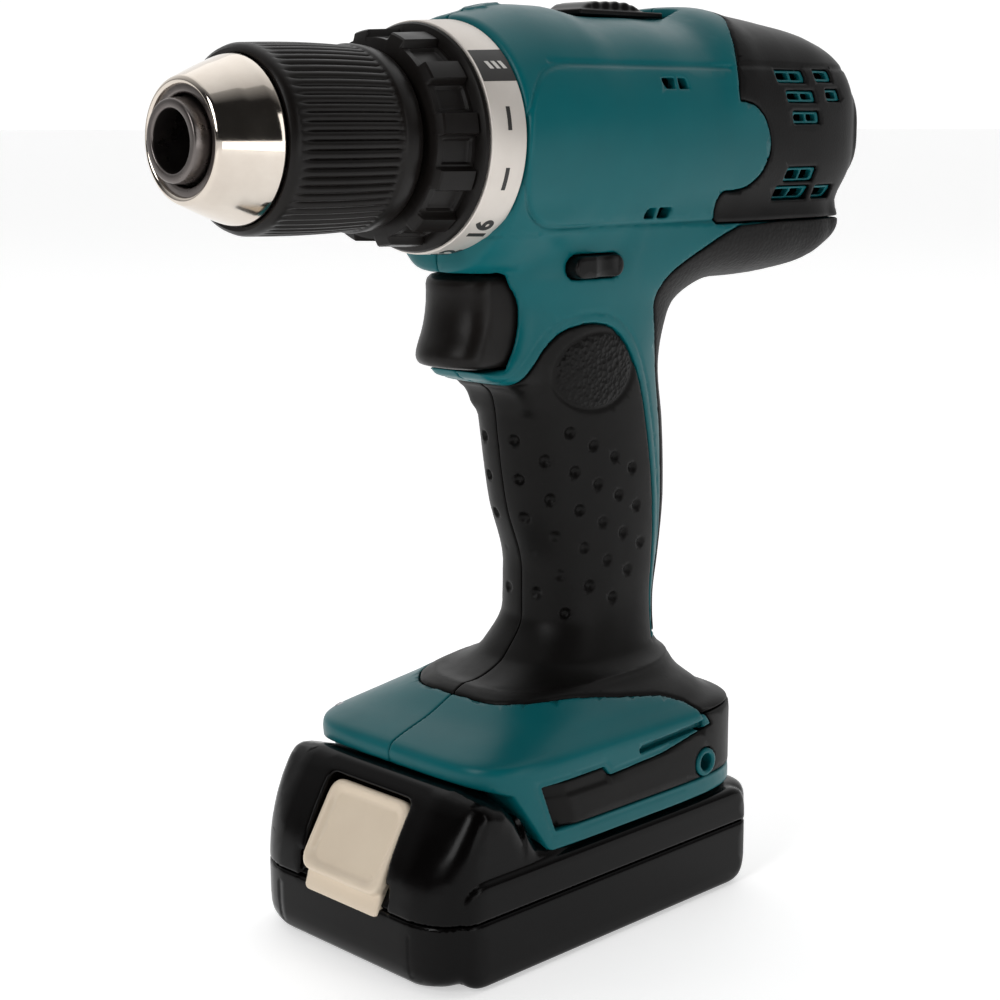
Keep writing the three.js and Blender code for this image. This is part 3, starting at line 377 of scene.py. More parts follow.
def finish_material(name, dark, light, rough, metal=0.0, grain=2200.0, bump=0.05, deep=0.0001, shine=0.5):
    """Moulded plastic or metal: uneven tone and gloss, with a fine grain that stands in relief."""
    material, nodes, links, shader = new_material(name)
    coords = nodes.new("ShaderNodeTexCoord").outputs["Object"]
    cloud = noise(nodes, links, coords, 38.0, 5.0)
    smear = noise(nodes, links, coords, 120.0, 6.0, 0.7)
    fine = noise(nodes, links, coords, grain, 2.0)
    lay_finish((nodes, links, shader), cloud, smear, fine, dark, light, rough, bump, deep, shine)
    shader.inputs["Metallic"].default_value = metal
    return material


def cell_material(name, dark, light, rough, size, bump, deep, shine):
    """Soft overmould or spark eroded plastic: a pebbled grain of small cells."""
    material, nodes, links, shader = new_material(name)
    coords = nodes.new("ShaderNodeTexCoord").outputs["Object"]
    cells = nodes.new("ShaderNodeTexVoronoi")
    cells.inputs["Scale"].default_value = size
    links.new(coords, cells.inputs["Vector"])
    cloud = noise(nodes, links, coords, 60.0, 4.0)
    height = cells.outputs["Distance"]
    lay_finish((nodes, links, shader), cloud, cloud, height, dark, light, rough, bump, deep, shine)
    return material


TEAL = finish_material(
    "teal_plastic", (0.0005, 0.1, 0.114), (0.001, 0.115, 0.13), (0.3, 0.38),
    grain=1500, bump=0.1, shine=0.2)
BLACK = finish_material(
    "black_plastic", (0.0018, 0.0015, 0.0015), (0.003, 0.0026, 0.0026), (0.26, 0.36),
    grain=1600, bump=0.1, shine=0.18)
CAP = cell_material(
    "cap_plastic", (0.0026, 0.0022, 0.0022), (0.0045, 0.004, 0.004), (0.36, 0.46),
    size=1500, bump=0.16, deep=0.0001, shine=0.14)
SOFT = finish_material(
    "soft_rubber", (0.0028, 0.0024, 0.0022), (0.005, 0.0044, 0.004), (0.38, 0.48),
    grain=1300, bump=0.12, shine=0.13)
STRAP = cell_material(
    "strap_rubber", (0.004, 0.0036, 0.0036), (0.007, 0.0063, 0.0063), (0.5, 0.62),
    size=900, bump=0.5, deep=0.0002, shine=0.2)
THUMB = cell_material(
    "thumb_rubber", (0.0026, 0.0022, 0.002), (0.0045, 0.004, 0.0037), (0.36, 0.5),
    size=800, bump=0.9, deep=0.0004, shine=0.14)
RING = finish_material(
    "ring_plastic", (0.005, 0.004, 0.0036), (0.008, 0.0065, 0.0058), (0.3, 0.42),
    grain=1500, bump=0.1, shine=0.18)
BATTERY = finish_material(
    "battery_plastic", (0.001, 0.0008, 0.0008), (0.002, 0.0016, 0.0016), (0.17, 0.25),
    grain=1500, bump=0.04, shine=0.12)
BEIGE = finish_material(
    "beige_plastic", (0.74, 0.62, 0.48), (0.80, 0.68, 0.53), (0.38, 0.5),
    grain=1600, bump=0.08)
GREY = finish_material(
    "grey_plastic", (0.05, 0.052, 0.06), (0.07, 0.072, 0.08), (0.5, 0.65),
    grain=1200, bump=0.2)
WRAP = finish_material("cell_wrap", (0.02, 0.16, 0.07), (0.03, 0.22, 0.1), (0.3, 0.4))
BOARD = finish_material("circuit_board", (0.01, 0.07, 0.03), (0.02, 0.1, 0.045), (0.3, 0.5))
CHROME = finish_material(
    "chrome", (0.58, 0.51, 0.44), (0.72, 0.66, 0.59), (0.06, 0.15),
    metal=1.0, bump=0.02)
DARK_STEEL = finish_material(
    "dark_steel", (0.12, 0.105, 0.1), (0.22, 0.2, 0.19), (0.24, 0.38),
    metal=1.0, grain=900, bump=0.1)
STEEL = finish_material(
    "steel", (0.3, 0.3, 0.31), (0.42, 0.42, 0.43), (0.28, 0.45),
    metal=1.0, grain=900, bump=0.1)
SILVER = finish_material(
    "silver_paint", (0.64, 0.59, 0.54), (0.73, 0.68, 0.63), (0.4, 0.5),
    metal=0.5, grain=2600, bump=0.15)
MARKING = finish_material("black_marking", (0.01, 0.009, 0.008), (0.016, 0.014, 0.013), (0.4, 0.5))
PALE_MARKING = finish_material("pale_marking", (0.55, 0.53, 0.5), (0.65, 0.63, 0.6), (0.4, 0.5))
COPPER = finish_material("copper", (0.3, 0.13, 0.06), (0.5, 0.25, 0.12), (0.3, 0.45), metal=1.0)

SLOT_MATERIAL = {
    "teal_plastic": TEAL, "black_plastic": BLACK, "soft_rubber": SOFT, "battery_plastic": BATTERY,
    "beige_plastic": BEIGE, "grey_plastic": GREY, "cell_wrap": WRAP, "circuit_board": BOARD,
    "chrome": CHROME, "dark_steel": DARK_STEEL, "steel": STEEL, "silver_paint": SILVER, "copper": COPPER,
}


def dress_frame():
    """Every CAD node gets the procedural material of its slot."""
    for row in frame["record"]["subparts"]:
        mesh = frame["nodes"][row["node"]].data
        mesh.materials.clear()
        mesh.materials.append(SLOT_MATERIAL[row["material_slot"]])


# ---------- the tool's form and its regions

# Outlines in side view, as (x, z). They run past the casing where they have no edge on it.
COVER_OUTLINE = [
    (130, 175.9), (134, 175.9), (134, 180), (134, 240), (61, 240), (61, 228.6), (57, 224.6),
    (54.2, 217), (53.2, 206.8), (55.5, 206.8), (60.2, 205.8), (64.2, 202.7), (66.3, 198.6),
    (66.8, 195.6), (66.3, 192.6), (64.2, 188.5), (60.2, 185.4), (55.5, 184.4), (50.1, 184.4),
    (48.6, 181), (48.6, 175.9), (53, 175.9),
]
GRIP_OUTLINE = [
    (-24, 133.5), (-14, 136.2), (-9.2, 138.6), (-5.6, 141.8), (-1, 147.4), (3.6, 151.4), (11.1, 153),
    (18.6, 151.7), (24, 147.9), (28.8, 141.8), (32.9, 133.5), (36.2, 121), (38.6, 108), (39.4, 96),
    (39.2, 85), (38.9, 72), (38.2, 64), (32.6, 50), (-24, 50),
]
STRAP_OUTLINE = [
    (60.8, 176.1), (51.5, 172.9), (42.4, 168), (36.5, 163.1), (34.4, 157), (37, 149.5), (39.6, 141.4),
    (41.8, 130), (43.4, 118), (43.8, 100), (42.6, 86), (40.2, 75), (39.2, 66), (60, 66), (60, 150),
    (134, 150), (134, 172), (134, 176.1), (130, 176.1),
]
PAD_OUTLINE = [
    (-24.6, 45.2), (-20.2, 33.4), (60, 33.2), (60, 50.7), (35.4, 50.7), (38.2, 47.4), (18, 44),
    (-1.3, 43), (-3.4, 45.6),
]
REST_LIP = [
    (-18.8, 141.9), (-16.5, 140.4), (-12, 139.0), (-8.4, 137.6), (-5, 134.4), (-3, 130), (8, 130),
    (8, 146), (-10, 144.6), (-13, 142.6), (-18.4, 142.5),
]
UNDERCUT = [(-46, 47.0), (-41.4, 47.0), (-32, 44.2), (-21.9, 28.4), (-21.9, 20), (-46, 20)]
TRIGGER_OUTLINE = [
    (-22.4, 165.6), (-22.3, 158), (-23.4, 152.4), (-25.8, 147), (-26, 144.8), (-24.6, 143),
    (-17.6, 142.6), (-8, 143.2), (-4, 143.4), (-4, 163.2), (-7, 163.2), (-12, 165.2),
]

# The edge of the soft flare on top of the foot, seen from above, as (x, y).
FOOT_TOP_OUTLINE = [
    (-20, 0), (-19.7, -9.8), (-17.9, -15.1), (-11.8, -21.2), (5.7, -27), (29.8, -31.3), (36.5, -39),
    (64, -39), (64, 39), (36.5, 39), (29.8, 31.3), (5.7, 27), (-11.8, 21.2), (-17.9, 15.1), (-19.7, 9.8),
]

BARREL_END = 1.6   # rounding of the barrel's rim
PANEL_REAR = 52    # where the marks on the barrel's side stop at the motor cover
CREASE_Z = 215.6   # height of the fine line along the barrel

# Where the soft flare starts and stops, and where the grip above it starts.
FLARE_LOW, FLARE_HIGH, GRIP_LOW = 50.4, 66.3, 64

# Vents as (x0, x1, z0, z1, lean of the sides, cells in a row).
VENT_ROWS = [
    (69.8, 82.5, 211.6, 215.0, -1.2, 2), (86.8, 95.0, 212.0, 215.3, -1.2, 1),
    (73.8, 86.7, 206.6, 209.8, -1.2, 2), (91.6, 98.7, 207.0, 210.3, -1.2, 1),
    (76.2, 88.6, 201.1, 204.5, -0.6, 2), (74.0, 87.1, 186.1, 190.0, 1.2, 2),
    (70.9, 85.6, 181.4, 185.1, 1.2, 2), (87.7, 97.1, 181.4, 185.0, 1.2, 1),
]

# Slots in the barrel's sides as (x0, x1, z0, z1, lean), and the lever's slot as (x0, x1, z0, z1).
SIDE_VENTS = [(26, 35, 209.7, 212.3, -1.0), (22.5, 31.3, 178.2, 180.8, 1.0)]
LEVER_SLOT = (1.2, 19.1, 163.8, 170.1)

# The boss that a belt hook screws to, as (x, z), and the open screw wells, as (x, z, depth y of the head).
HOOK_BOSS = (35.9, 37.4)
OPEN_SCREWS = [(33, 172, 18), (20, 118, 10.5), (24, 80, 10.5), (44, 49, 30)]


def side_vent(grid, x0, x1, z0, z1, lean, shrink=0.0):
    """A slot with leaning ends and rounded corners, cut straight through along y."""
    slant = grid.x - lean * (grid.z - z0) / (z1 - z0)
    across = np.abs(slant - (x0 + x1) / 2) - (x1 - x0) / 2 + shrink
    along = np.abs(grid.z - (z0 + z1) / 2) - (z1 - z0) / 2 + shrink
    return blend_max(across, along, 0.8)


def barrel_form(grid):
    return blend_min(loft_x(grid, BARREL, BARREL_END), loft_x(grid, LOWER_REAR, 3.0), 7.0)


def tool_form(grid):
    """The whole casing without the battery, as one smooth body."""
    barrel = barrel_form(grid)
    foot = loft_z(grid, FOOT, 0.6)
    undercut = outline_field(grid.x, grid.z, UNDERCUT)
    lip = blend_max(outline_field(grid.x, grid.z, rounded(REST_LIP)), np.abs(grid.y) - 11.8, 4.0)
    handle = blend_min(loft_z(grid, HANDLE, 2.0), loft_z(grid, TRIGGER_CHEEKS, 1.0), 2.0)
    handle = blend_min(handle, loft_z(grid, CHIN, 0.6), 2.0)
    form = blend_min(barrel, handle, 9.0)
    form = blend_min(form, foot, 5.0)
    form = blend_min(form, lip, 2.5)
    return blend_max(form, -undercut, 1.0)


def side_panel_line(grid):
    """Distance to the edge of the long panel that is marked on the barrel's side."""
    middle_z, half_height, nose_x, nose_radius, off = 196, 19, 1.5, 22.5, 9
    tall = np.abs(grid.z - middle_z) - half_height
    bow = np.sqrt((grid.x - nose_x) ** 2 + (grid.z - middle_z) ** 2) - nose_radius
    nose = np.where(grid.x < nose_x, bow, -off)
    return np.where(grid.x < PANEL_REAR, blend_max(tall, nose, 3.0), off)


def regions(grid):
    """Distance, seen from the side, to the outline of each piece that covers the casing."""
    grip = np.maximum(outline_field(grid.x, grid.z, rounded(GRIP_OUTLINE, 1)), GRIP_LOW - grid.z)
    flare = outline_field(grid.x, grid.y, rounded(FOOT_TOP_OUTLINE, 1))
    flare = np.maximum(flare, np.maximum(FLARE_LOW - grid.z, grid.z - FLARE_HIGH))
    return {
        "cover": outline_field(grid.x, grid.z, rounded(COVER_OUTLINE, 1)),
        "grip": np.minimum(grip, flare),
        "strap": outline_field(grid.x, grid.z, rounded(STRAP_OUTLINE, 1)),
        "pad": outline_field(grid.x, grid.z, PAD_OUTLINE),
    }


def halves(name, grid, field, right_extra, *finish):
    """Makes the left piece and its mirror, the right one; right_extra cuts the right one only."""
    half = blend_max(field, grid.y + SEAM, 0.2)
    place(skin(name + "_left", grid, half), *finish, name + "_left")
    if right_extra is not None:
        half = np.maximum(half, -right_extra)
    place(skin(name + "_right", grid, half, mirror=True), *finish, name + "_right")


def screw_wells(grid):
    """The round wells down to the heads of the screws that hold the two halves together."""
    radius = 3.5
    wells = None
    for x, z, head_y in OPEN_SCREWS:
        well = np.maximum(np.sqrt((grid.x - x) ** 2 + (grid.z - z) ** 2) - radius, grid.y + head_y - GAP)
        wells = well if wells is None else np.minimum(wells, well)
    return wells


def housing_field(grid, form, inner, region):
    """The left half of the teal casing, before it is cut at the seam."""
    shell = np.maximum(form, -inner)
    shell = groove(shell, side_panel_line(grid), 0.42, 0.55)
    off_crease = (grid.x > PANEL_REAR) | (grid.x < -10.5)
    shell = groove(shell, grid.z - CREASE_Z + FAR * off_crease, 0.4, 0.35)
    bead = region["grip"] - 2.6 + FAR * (grid.z < 75)
    shell = groove(shell, bead, 0.4, 0.3)
    shell = groove(shell, region["pad"] - 1.1, 0.35, 0.3)
    for name, deep in (("grip", RUBBER + GAP), ("strap", RUBBER + GAP), ("pad", RUBBER + 1.9)):
        shell = blend_max(shell, -np.maximum(region[name], -(form + deep)), 0.5)
    shell = blend_max(shell, -region["cover"], 0.5)
    for vent in SIDE_VENTS:
        hole = side_vent(grid, *vent)
        bar = np.abs(grid.x - (vent[0] + vent[1]) / 2) - 0.5
        shell = np.maximum(shell, -np.maximum(hole, -bar))
    trigger_room = outline_field(grid.x, grid.z, TRIGGER_OUTLINE) - 0.55
    trigger_room = np.minimum(trigger_room, box_field(grid, -16, 4, -30, 30, 142.6, 166.3))
    shell = blend_max(shell, -np.maximum(trigger_room, np.abs(grid.y) - 11.5), 0.8)
    shell = blend_max(shell, -capsule_field(grid.x, grid.z, *LEVER_SLOT), 0.4)
    nose_bore = np.maximum(np.sqrt(grid.y ** 2 + (grid.z - AXIS_Z) ** 2) - 24.6, grid.x - 13.9)
    shell = np.maximum(shell, -nose_bore)
    battery_front = box_field(grid, -48, -10, -22.5, 1, 20, 43.6)
    battery_rails = box_field(grid, -48, 49, -18.5, 1, 20, 34)
    shell = np.maximum(shell, -np.minimum(battery_front, battery_rails))
    selector_plate = box_field(grid, 9, 53, -8.8, 1, 227.5, 240)
    selector_stem = box_field(grid, 19, 45, -4.4, 1, 215, 240)
    selector_arm = box_field(grid, -15.5, 30, -3.4, 1, 215, 224.6)
    recess = np.minimum(np.minimum(selector_plate, selector_stem), selector_arm)
    shell = blend_max(shell, -recess, 0.6)
    return blend_max(shell, -np.maximum(hook_slot(grid), grid.y + 35.0), 0.4)


def hook_slot(grid):
    """The slot above the soft strip where a belt hook would sit."""
    return np.maximum(np.abs(grid.x - 22.4) - 12.6, np.abs(grid.z - 47.4 - 0.05 * (grid.x - 22.4)) - 0.95)


def boss_distance(grid):
    return np.sqrt((grid.x - HOOK_BOSS[0]) ** 2 + (grid.z - HOOK_BOSS[1]) ** 2)


def hook_boss(grid, shell):
    """Adds the round boss, with its bore, in which a belt hook's screw would sit."""
    away = boss_distance(grid)
    boss = blend_max(away - 3.7, np.maximum(-37.45 - grid.y, grid.y + 31), 0.5)
    return blend_max(np.minimum(shell, boss), -np.maximum(away - 2.3, grid.y + 32), 0.5)


def arrow_field(grid):
    """An arrow that points at the chuck, standing on top of the barrel's nose."""
    head = np.maximum(np.abs(grid.y) - 0.9 * (grid.x + 15.5), grid.x + 10.5)
    stem = np.maximum(np.abs(grid.y) - 2.4, np.abs(grid.x + 8.5) - 3.5)
    top_only = 220 - grid.z
    return np.maximum(np.minimum(head, stem), top_only)


def build_casing():
    grid = Grid((-46, -39.2, 26), (117, 1.5, 234), FINE)
    form = tool_form(grid)
    region = regions(grid)
    inner = form + WALL
    wells = screw_wells(grid)
    arrow_height = 0.5
    raised = form - arrow_height * (arrow_field(grid) < 0)
    shell = hook_boss(grid, housing_field(grid, raised, inner, region))
    halves("housing", grid, shell, wells, "housing", "teal_plastic", TEAL)
    build_grips()
    build_straps(grid, form, region["strap"])
    build_pads(grid, form, region["pad"])


# ---------- what covers the casing

def build_cover():
    """The black cover of the motor, with its vents and the wells of its two screws."""
    grid = Grid((47, -31.5, 174), (117, 31.5, 234), FINE)
    form = barrel_form(grid)
    region = outline_field(grid.x, grid.z, rounded(COVER_OUTLINE, 1))
    shell = np.maximum(form, -(form + WALL))
    shell = groove(shell, grid.z - CREASE_Z - 0.2 + FAR * (grid.x < 53), 0.4, 0.45)
    shell = blend_max(shell, region + GAP, 0.7)
    for x0, x1, z0, z1, lean, _ in VENT_ROWS:
        shell = blend_max(shell, -side_vent(grid, x0, x1, z0, z1, lean), 0.5)
    well = np.maximum(np.sqrt((np.abs(grid.y) - 20.2) ** 2 + (grid.z - AXIS_Z) ** 2) - 3.3, 103.6 - grid.x)
    shell = blend_max(shell, -well, 0.5)
    place(skin("motor_cover", grid, shell), "housing", "black_plastic", CAP, "rear_cover")
    build_vent_frames()
    # Black sheets behind the side slots paint the shade inside them.
    build_liners()


def build_liners():
    """Dark sheets behind the slots in the barrel's sides: painted shade, so that the slots read dark
    inside.
    """
    grid = Grid((17, -31, 170), (41, -18, 219), FINE)
    form = loft_x(grid, BARREL, BARREL_END)
    sheet = np.maximum(form + WALL + 0.3, -(form + WALL + 1.5))
    upper = box_field(grid, 21, 40, -40, 0, 203.5, 217.5)
    lower = box_field(grid, 18.5, 36, -40, 0, 172.5, 186.5)
    sheet = np.maximum(sheet, np.minimum(upper, lower))
    for side, mirror in (("left", False), ("right", True)):
        piece = skin("slot_shade_sheet_" + side, grid, sheet, mirror=mirror)
        # Black plastic here is painted shade behind the slots, not a real lining.
        place(piece, "housing", "black_plastic", BLACK)


def build_vent_frames():
    """The teal frames that sit just inside the vents of the motor cover."""
    grid = Grid((66, -33, 178), (102, -14, 218), DENSE)
    form = loft_x(grid, BARREL, 2.0)
    frames = None
    for x0, x1, z0, z1, lean, cells in VENT_ROWS:
        border = side_vent(grid, x0, x1, z0, z1, lean, 0.2)
        hole = side_vent(grid, x0 + 0.2, x1 - 0.9, z0 + 0.2, z1 - 0.2, lean, 0.65)
        if cells == 2:
            slant = grid.x - lean * (grid.z - z0) / (z1 - z0)
            hole = np.maximum(hole, 0.4 - np.abs(slant - (x0 + x1) / 2))
        ring = np.maximum(border, -hole)
        frames = ring if frames is None else np.minimum(frames, ring)
    frames = np.maximum(frames, np.maximum(form + 0.75, -(form + 2.6)))
    for side, mirror in (("left", False), ("right", True)):
        piece = skin("vent_frames_" + side, grid, frames, mirror=mirror, reach=0.6)
        place(piece, "housing", "teal_plastic", TEAL)


def dimple_places():
    """Where the hollows of the side grip lie: sloping columns of even pitch."""
    columns = [
        (-2.9, -5.2, 123.4, 5), (1.9, -11.1, 118.3, 5), (7.3, -14.7, 125.2, 5),
        (14.5, -16.3, 121.3, 5), (21.9, -16.7, 117.6, 4), (28.8, -16.6, 113.9, 3),
    ]
    step_x, step_z = 1.9, -10.2
    for x, y, z, count in columns:
        for row in range(count):
            yield x + step_x * row, y, z + step_z * row


def thumb_oval(x, z, half_x, half_z):
    """Below 1 inside the oval patch where the thumb rests."""
    return np.sqrt(((x - 15) / half_x) ** 2 + ((z - 140.4) / half_z) ** 2)


def build_grips():
    """The soft side grips, with their hollows and the rougher patch under the thumb."""
    grid = Grid((-30, -36, 49), (62, 1.5, 156), DENSE)
    form, region, wells = tool_form(grid), regions(grid), screw_wells(grid)
    outer = form
    for centre in dimple_places():
        outer = pressed(outer, grid, centre, 1.6, 1.1)
    rim = (thumb_oval(grid.x, grid.z, 12.8, 9.8) - 1) * 11
    outer = groove(outer, rim, 0.9, 0.45)
    rubber = np.maximum(outer, -(form + RUBBER))
    rubber = blend_max(rubber, region["grip"] + GAP, 0.9)
    room = np.maximum(outline_field(grid.x, grid.z, TRIGGER_OUTLINE) - 0.5, np.abs(grid.y) - 11.4)
    rubber = np.maximum(rubber, -room)
    for name, mirror in (("grip_left", False), ("grip_right", True)):
        half = blend_max(rubber, grid.y + SEAM, 0.5)
        if mirror:
            half = np.maximum(half, -wells)
        piece = skin(name, grid, half, mirror=mirror)
        piece.data.materials.append(SOFT)
        piece.data.materials.append(THUMB)
        for face in piece.data.polygons:
            x, y, z = (c / MM for c in face.center)
            inside = thumb_oval(x, z, 12.3, 9.3) < 1
            face.material_index = int(inside and abs(y) > 9)
        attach(piece, "housing")
        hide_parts(name)


def build_straps(grid, form, region):
    rubber = np.maximum(form, -(form + RUBBER))
    rubber = blend_max(rubber, region + GAP, 0.7)
    halves("backstrap", grid, rubber, None, "housing", "soft_rubber", STRAP)


def build_pads(grid, form, region):
    """The soft strip along the foot: scooped to a wedge in front, and widening into the heel."""
    slope = 2.0 * np.clip((-13.5 - 0.35 * (grid.z - 33) - grid.x) / 6.5, 0, 1)
    step = 0.55 * np.clip((grid.z - 41.2) / 0.8, 0, 1) * (grid.x < -2.4)
    surface = form + np.where(grid.x < 6, slope + step, 0)
    pad = np.maximum(surface, -(form + RUBBER + 1.6))
    pad = blend_max(pad, region + GAP, 0.5)
    pad = np.maximum(pad, 4.0 - boss_distance(grid))
    halves("foot_pad", grid, pad, screw_wells(grid), "housing", "soft_rubber", SOFT)


# ---------- controls

def build_trigger():
    """The trigger: wider at the back than at its hollow front, with a pocket for its spring."""
    grid = Grid((-28, -12.4, 140), (-2, 12.4, 168), DENSE)
    bulge = 3.9 * np.abs(grid.y / 10.6) ** 2.3
    body = outline_field(grid.x - bulge, grid.z, rounded(TRIGGER_OUTLINE))
    body = blend_max(body, grid.x + 4, 0.6)
    body = blend_max(body, np.abs(grid.y) - 10.9, 2.6)
    body = blend_max(body, grid.z - 163.2 - FAR * (grid.x < -8.4), 0.6)
    pocket = np.maximum(np.sqrt(grid.y ** 2 + (grid.z - 154) ** 2) - 3.7, -18 - grid.x)
    body = np.maximum(body, -pocket)
    place(skin("trigger_lever", grid, body), "trigger", "black_plastic", RING, "trigger")


def build_lever():
    """The bar that is pushed from side to side to reverse the motor, hollowed for a fingertip."""
    grid = Grid((-1, -24, 162), (20, 24, 172), DENSE)
    depth, middle_x, half_length, nub_x = 0.9, 12.4, 4.2, 8.4
    bowl = np.clip(1 - ((grid.x - middle_x) / half_length) ** 2, 0, 1)
    hollow = depth * bowl * np.clip((grid.x - nub_x) / 0.8, 0, 1)
    bar = capsule_field(grid.x, grid.z, 1.6, 18.7, 164.2, 169.7)
    bar = blend_max(bar, np.abs(grid.y) - 22.4 + hollow, 0.8)
    place(skin("direction_lever", grid, bar), "reverse_lever", "black_plastic", BLACK, "reverse_lever")


def build_selector():
    """The speed knob on its plate, with the stem and the arm that shift the ring gear."""
    grid = Grid((-10, -9.4, 218), (49.5, 9.4, 233), DENSE)
    plate = blend_max(box_field(grid, 17, 48, -8.3, 8.3, 227.8, 229.3), -(grid.z - 226), 0.5)
    crown_x = (19.5, 22.8, 24.5, 38, 40.5, 43.5)
    crown_z = (229.0, 231.0, 231.35, 231.25, 230.5, 229.0)
    crown = smooth_curve(crown_x, crown_z, grid.x)
    knob = blend_max(grid.z - crown, np.abs(grid.y) - 6.4, 1.2)
    knob = blend_max(knob, box_field(grid, 19.5, 43.5, -9, 9, 228.5, 240), 0.6)
    from_middle = grid.x - 31
    knob = knob + 0.12 * np.cos(2 * math.pi * from_middle / 3.6) * np.clip(8.6 - np.abs(from_middle), 0, 1)
    stem = box_field(grid, 27, 40, -4, 4, 223.6, 228)
    arm = box_field(grid, -8.8, 30, -2.4, 2.4, 222.7, 223.9)
    fork = box_field(grid, -8.8, -6.6, -2.2, 2.2, 219.3, 222.8)
    body = np.minimum(np.minimum(blend_min(plate, knob, 0.6), stem), np.minimum(arm, fork))
    place(skin("speed_knob", grid, body), "speed_selector", "black_plastic", BLACK, "speed_selector")


# ---------- battery

# The battery seen from the side, as (x, z).
BATTERY_PROFILE = [
    (-58.6, 19), (-58.2, 5), (-55.5, 1), (-51, 0.05), (47, 0.05), (54, 2.4), (58, 8), (58.9, 17.2),
    (58.6, 25), (56, 27.6), (-22.6, 27.6), (-32.6, 43.4), (-41.6, 46.8), (-45.8, 45.2), (-51.4, 36.5),
    (-56.4, 27),
]

HALF_LENGTH, HALF_WIDTH, PAD_HALF_WIDTH = 58.7, 36.2, 37.35
SPLIT_Z, SPLIT_GAP = 17.2, 0.35   # where the two shells meet, and the gap between them


def plan_field(grid, half_x, half_y, front_r=14, rear_r=8):
    """The battery's plan: a rectangle whose front corners are rounder than its rear ones."""
    r = np.where(grid.x < 0, front_r, rear_r)
    u, v = np.abs(grid.x) - half_x + r, np.abs(grid.y) - half_y + r
    outside = np.sqrt(np.maximum(u, 0) ** 2 + np.maximum(v, 0) ** 2)
    return outside + np.minimum(np.maximum(u, v), 0) - r


def slope_axes(grid):
    """Coordinates in the sloping front face: down the slope, and out of it."""
    dx, dz = grid.x + 52.5, grid.z - 31.2
    c, s = math.cos(BUTTON_SLOPE), math.sin(BUTTON_SLOPE)
    return -(dx * c + dz * s), -dx * s + dz * c


def button_room(grid):
    """The well round the release button, with the notch below it in the lower shell."""
    down, out = slope_axes(grid)
    well = blend_max(np.abs(grid.y) - 15.3, np.maximum(-12.6 - down, down - 14), 3.0)
    notch = blend_max(np.abs(grid.y) - 16.6, 12.3 - grid.z, 2.0)
    notch = np.maximum(notch, grid.z - 24)
    floor = np.maximum(-3.6 - out, out - 12)
    return np.maximum(np.minimum(well, notch), floor)


def side_pads(grid, plan):
    """The flat raised panel on each side of the battery."""
    along = np.maximum(-50.6 - grid.x, grid.x - 53.8)
    face = blend_max(along, np.maximum(0.5 - grid.z, grid.z - 27.0), 7.0)
    return np.maximum(blend_max(plan, face, 2.2), 30.5 - np.abs(grid.y))


def build_battery():
    """The battery's case as one form, hollowed for its cells and split into two shells."""
    grid = Grid((-60.6, -38.6, -1.2), (60.6, 38.6, 48.4), FINE)
    plan = plan_field(grid, HALF_LENGTH, HALF_WIDTH)
    profile = outline_field(grid.x, grid.z, rounded(BATTERY_PROFILE, 1))
    crease_y = 24.3
    crease = 0.16 * np.maximum(np.abs(grid.y) - crease_y, 0) * (grid.x < -30)
    body = blend_max(profile + crease, plan, 5.0)
    body = blend_min(body, side_pads(grid, plan_field(grid, HALF_LENGTH, PAD_HALF_WIDTH)), 0.3)
    neck = box_field(grid, -32, 48, -18, 18, 26, 32.4)
    rail = np.minimum(neck, box_field(grid, -36, 48, -22, 22, 32.3, 42))
    body = blend_min(body, rail, 0.4)
    off_line = (grid.z > 14) | (grid.z < 3) | (grid.x > -56)
    body = groove(body, np.abs(grid.y) - crease_y + FAR * off_line, 0.35, 0.3)
    hollow = box_field(grid, -49, 54, -33.5, 33.5, 2.2, 24.5)
    body = np.maximum(body, -hollow)
    for y in (-12, 0, 12):
        body = np.maximum(body, -box_field(grid, 8, 52, y - 1.4, y + 1.4, 36, 44))
    body = blend_max(body, -button_room(grid), 0.5)
    lower = blend_max(body, grid.z - SPLIT_Z, SPLIT_GAP)
    upper = blend_max(body, SPLIT_Z + SPLIT_GAP - grid.z, SPLIT_GAP)
    for name, field in (("battery_case_lower", lower), ("battery_case_upper", upper)):
        piece = skin(name.replace("_case", "_shell"), grid, field)
        place(piece, "battery", "battery_plastic", BATTERY, name)


def build_button():
    """The release button: a dished plate, the tongue below it and the hook behind it."""
    grid = Grid((-68, -17, 8), (-38, 17, 48), FINE * 0.8)
    down, out = slope_axes(grid)
    cushion = blend_max(np.abs(grid.y) - 14.7, np.maximum(-11.8 - down, down - 11.9), 4.5)
    dish = blend_max(np.abs(grid.y) - 13.3, np.maximum(-10.4 - down, down - 10.6), 4.0)
    face = out - 0.7 + 1.2 * np.clip(-dish / 1.5, 0, 1) ** 1.3
    plate = blend_max(cushion, np.maximum(-2.6 - out, face), 1.2)
    tongue = blend_max(np.abs(grid.y) - 13.6, np.maximum(15.2 - grid.z, grid.z - 24), 1.6)
    slant = grid.x - 0.3 * (grid.z - 15)
    tongue = blend_max(tongue, np.maximum(-58.2 - slant, slant + 55.2), 0.6)
    hook = np.maximum(np.maximum(-11 - down, down + 7), np.maximum(-9 - out, out + 1.6))
    hook = np.maximum(np.abs(grid.y) - 8, hook)
    body = np.minimum(blend_min(plate, tongue, 0.6), hook)
    place(skin("release_button", grid, body), "battery_button", "beige_plastic", BEIGE, "battery_button")


# ---------- chuck and torque ring

# The silver scale's ends along x with its radius at each, and its numbers with their angles.
BAND_FRONT, BAND_REAR = -31.45, -21.0
BAND_FRONT_RADIUS, BAND_REAR_RADIUS = 27.1, 27.65
SCALE_NUMBERS = {16: -50, 12: -78, 8: -106, 4: -134, 1: -160}


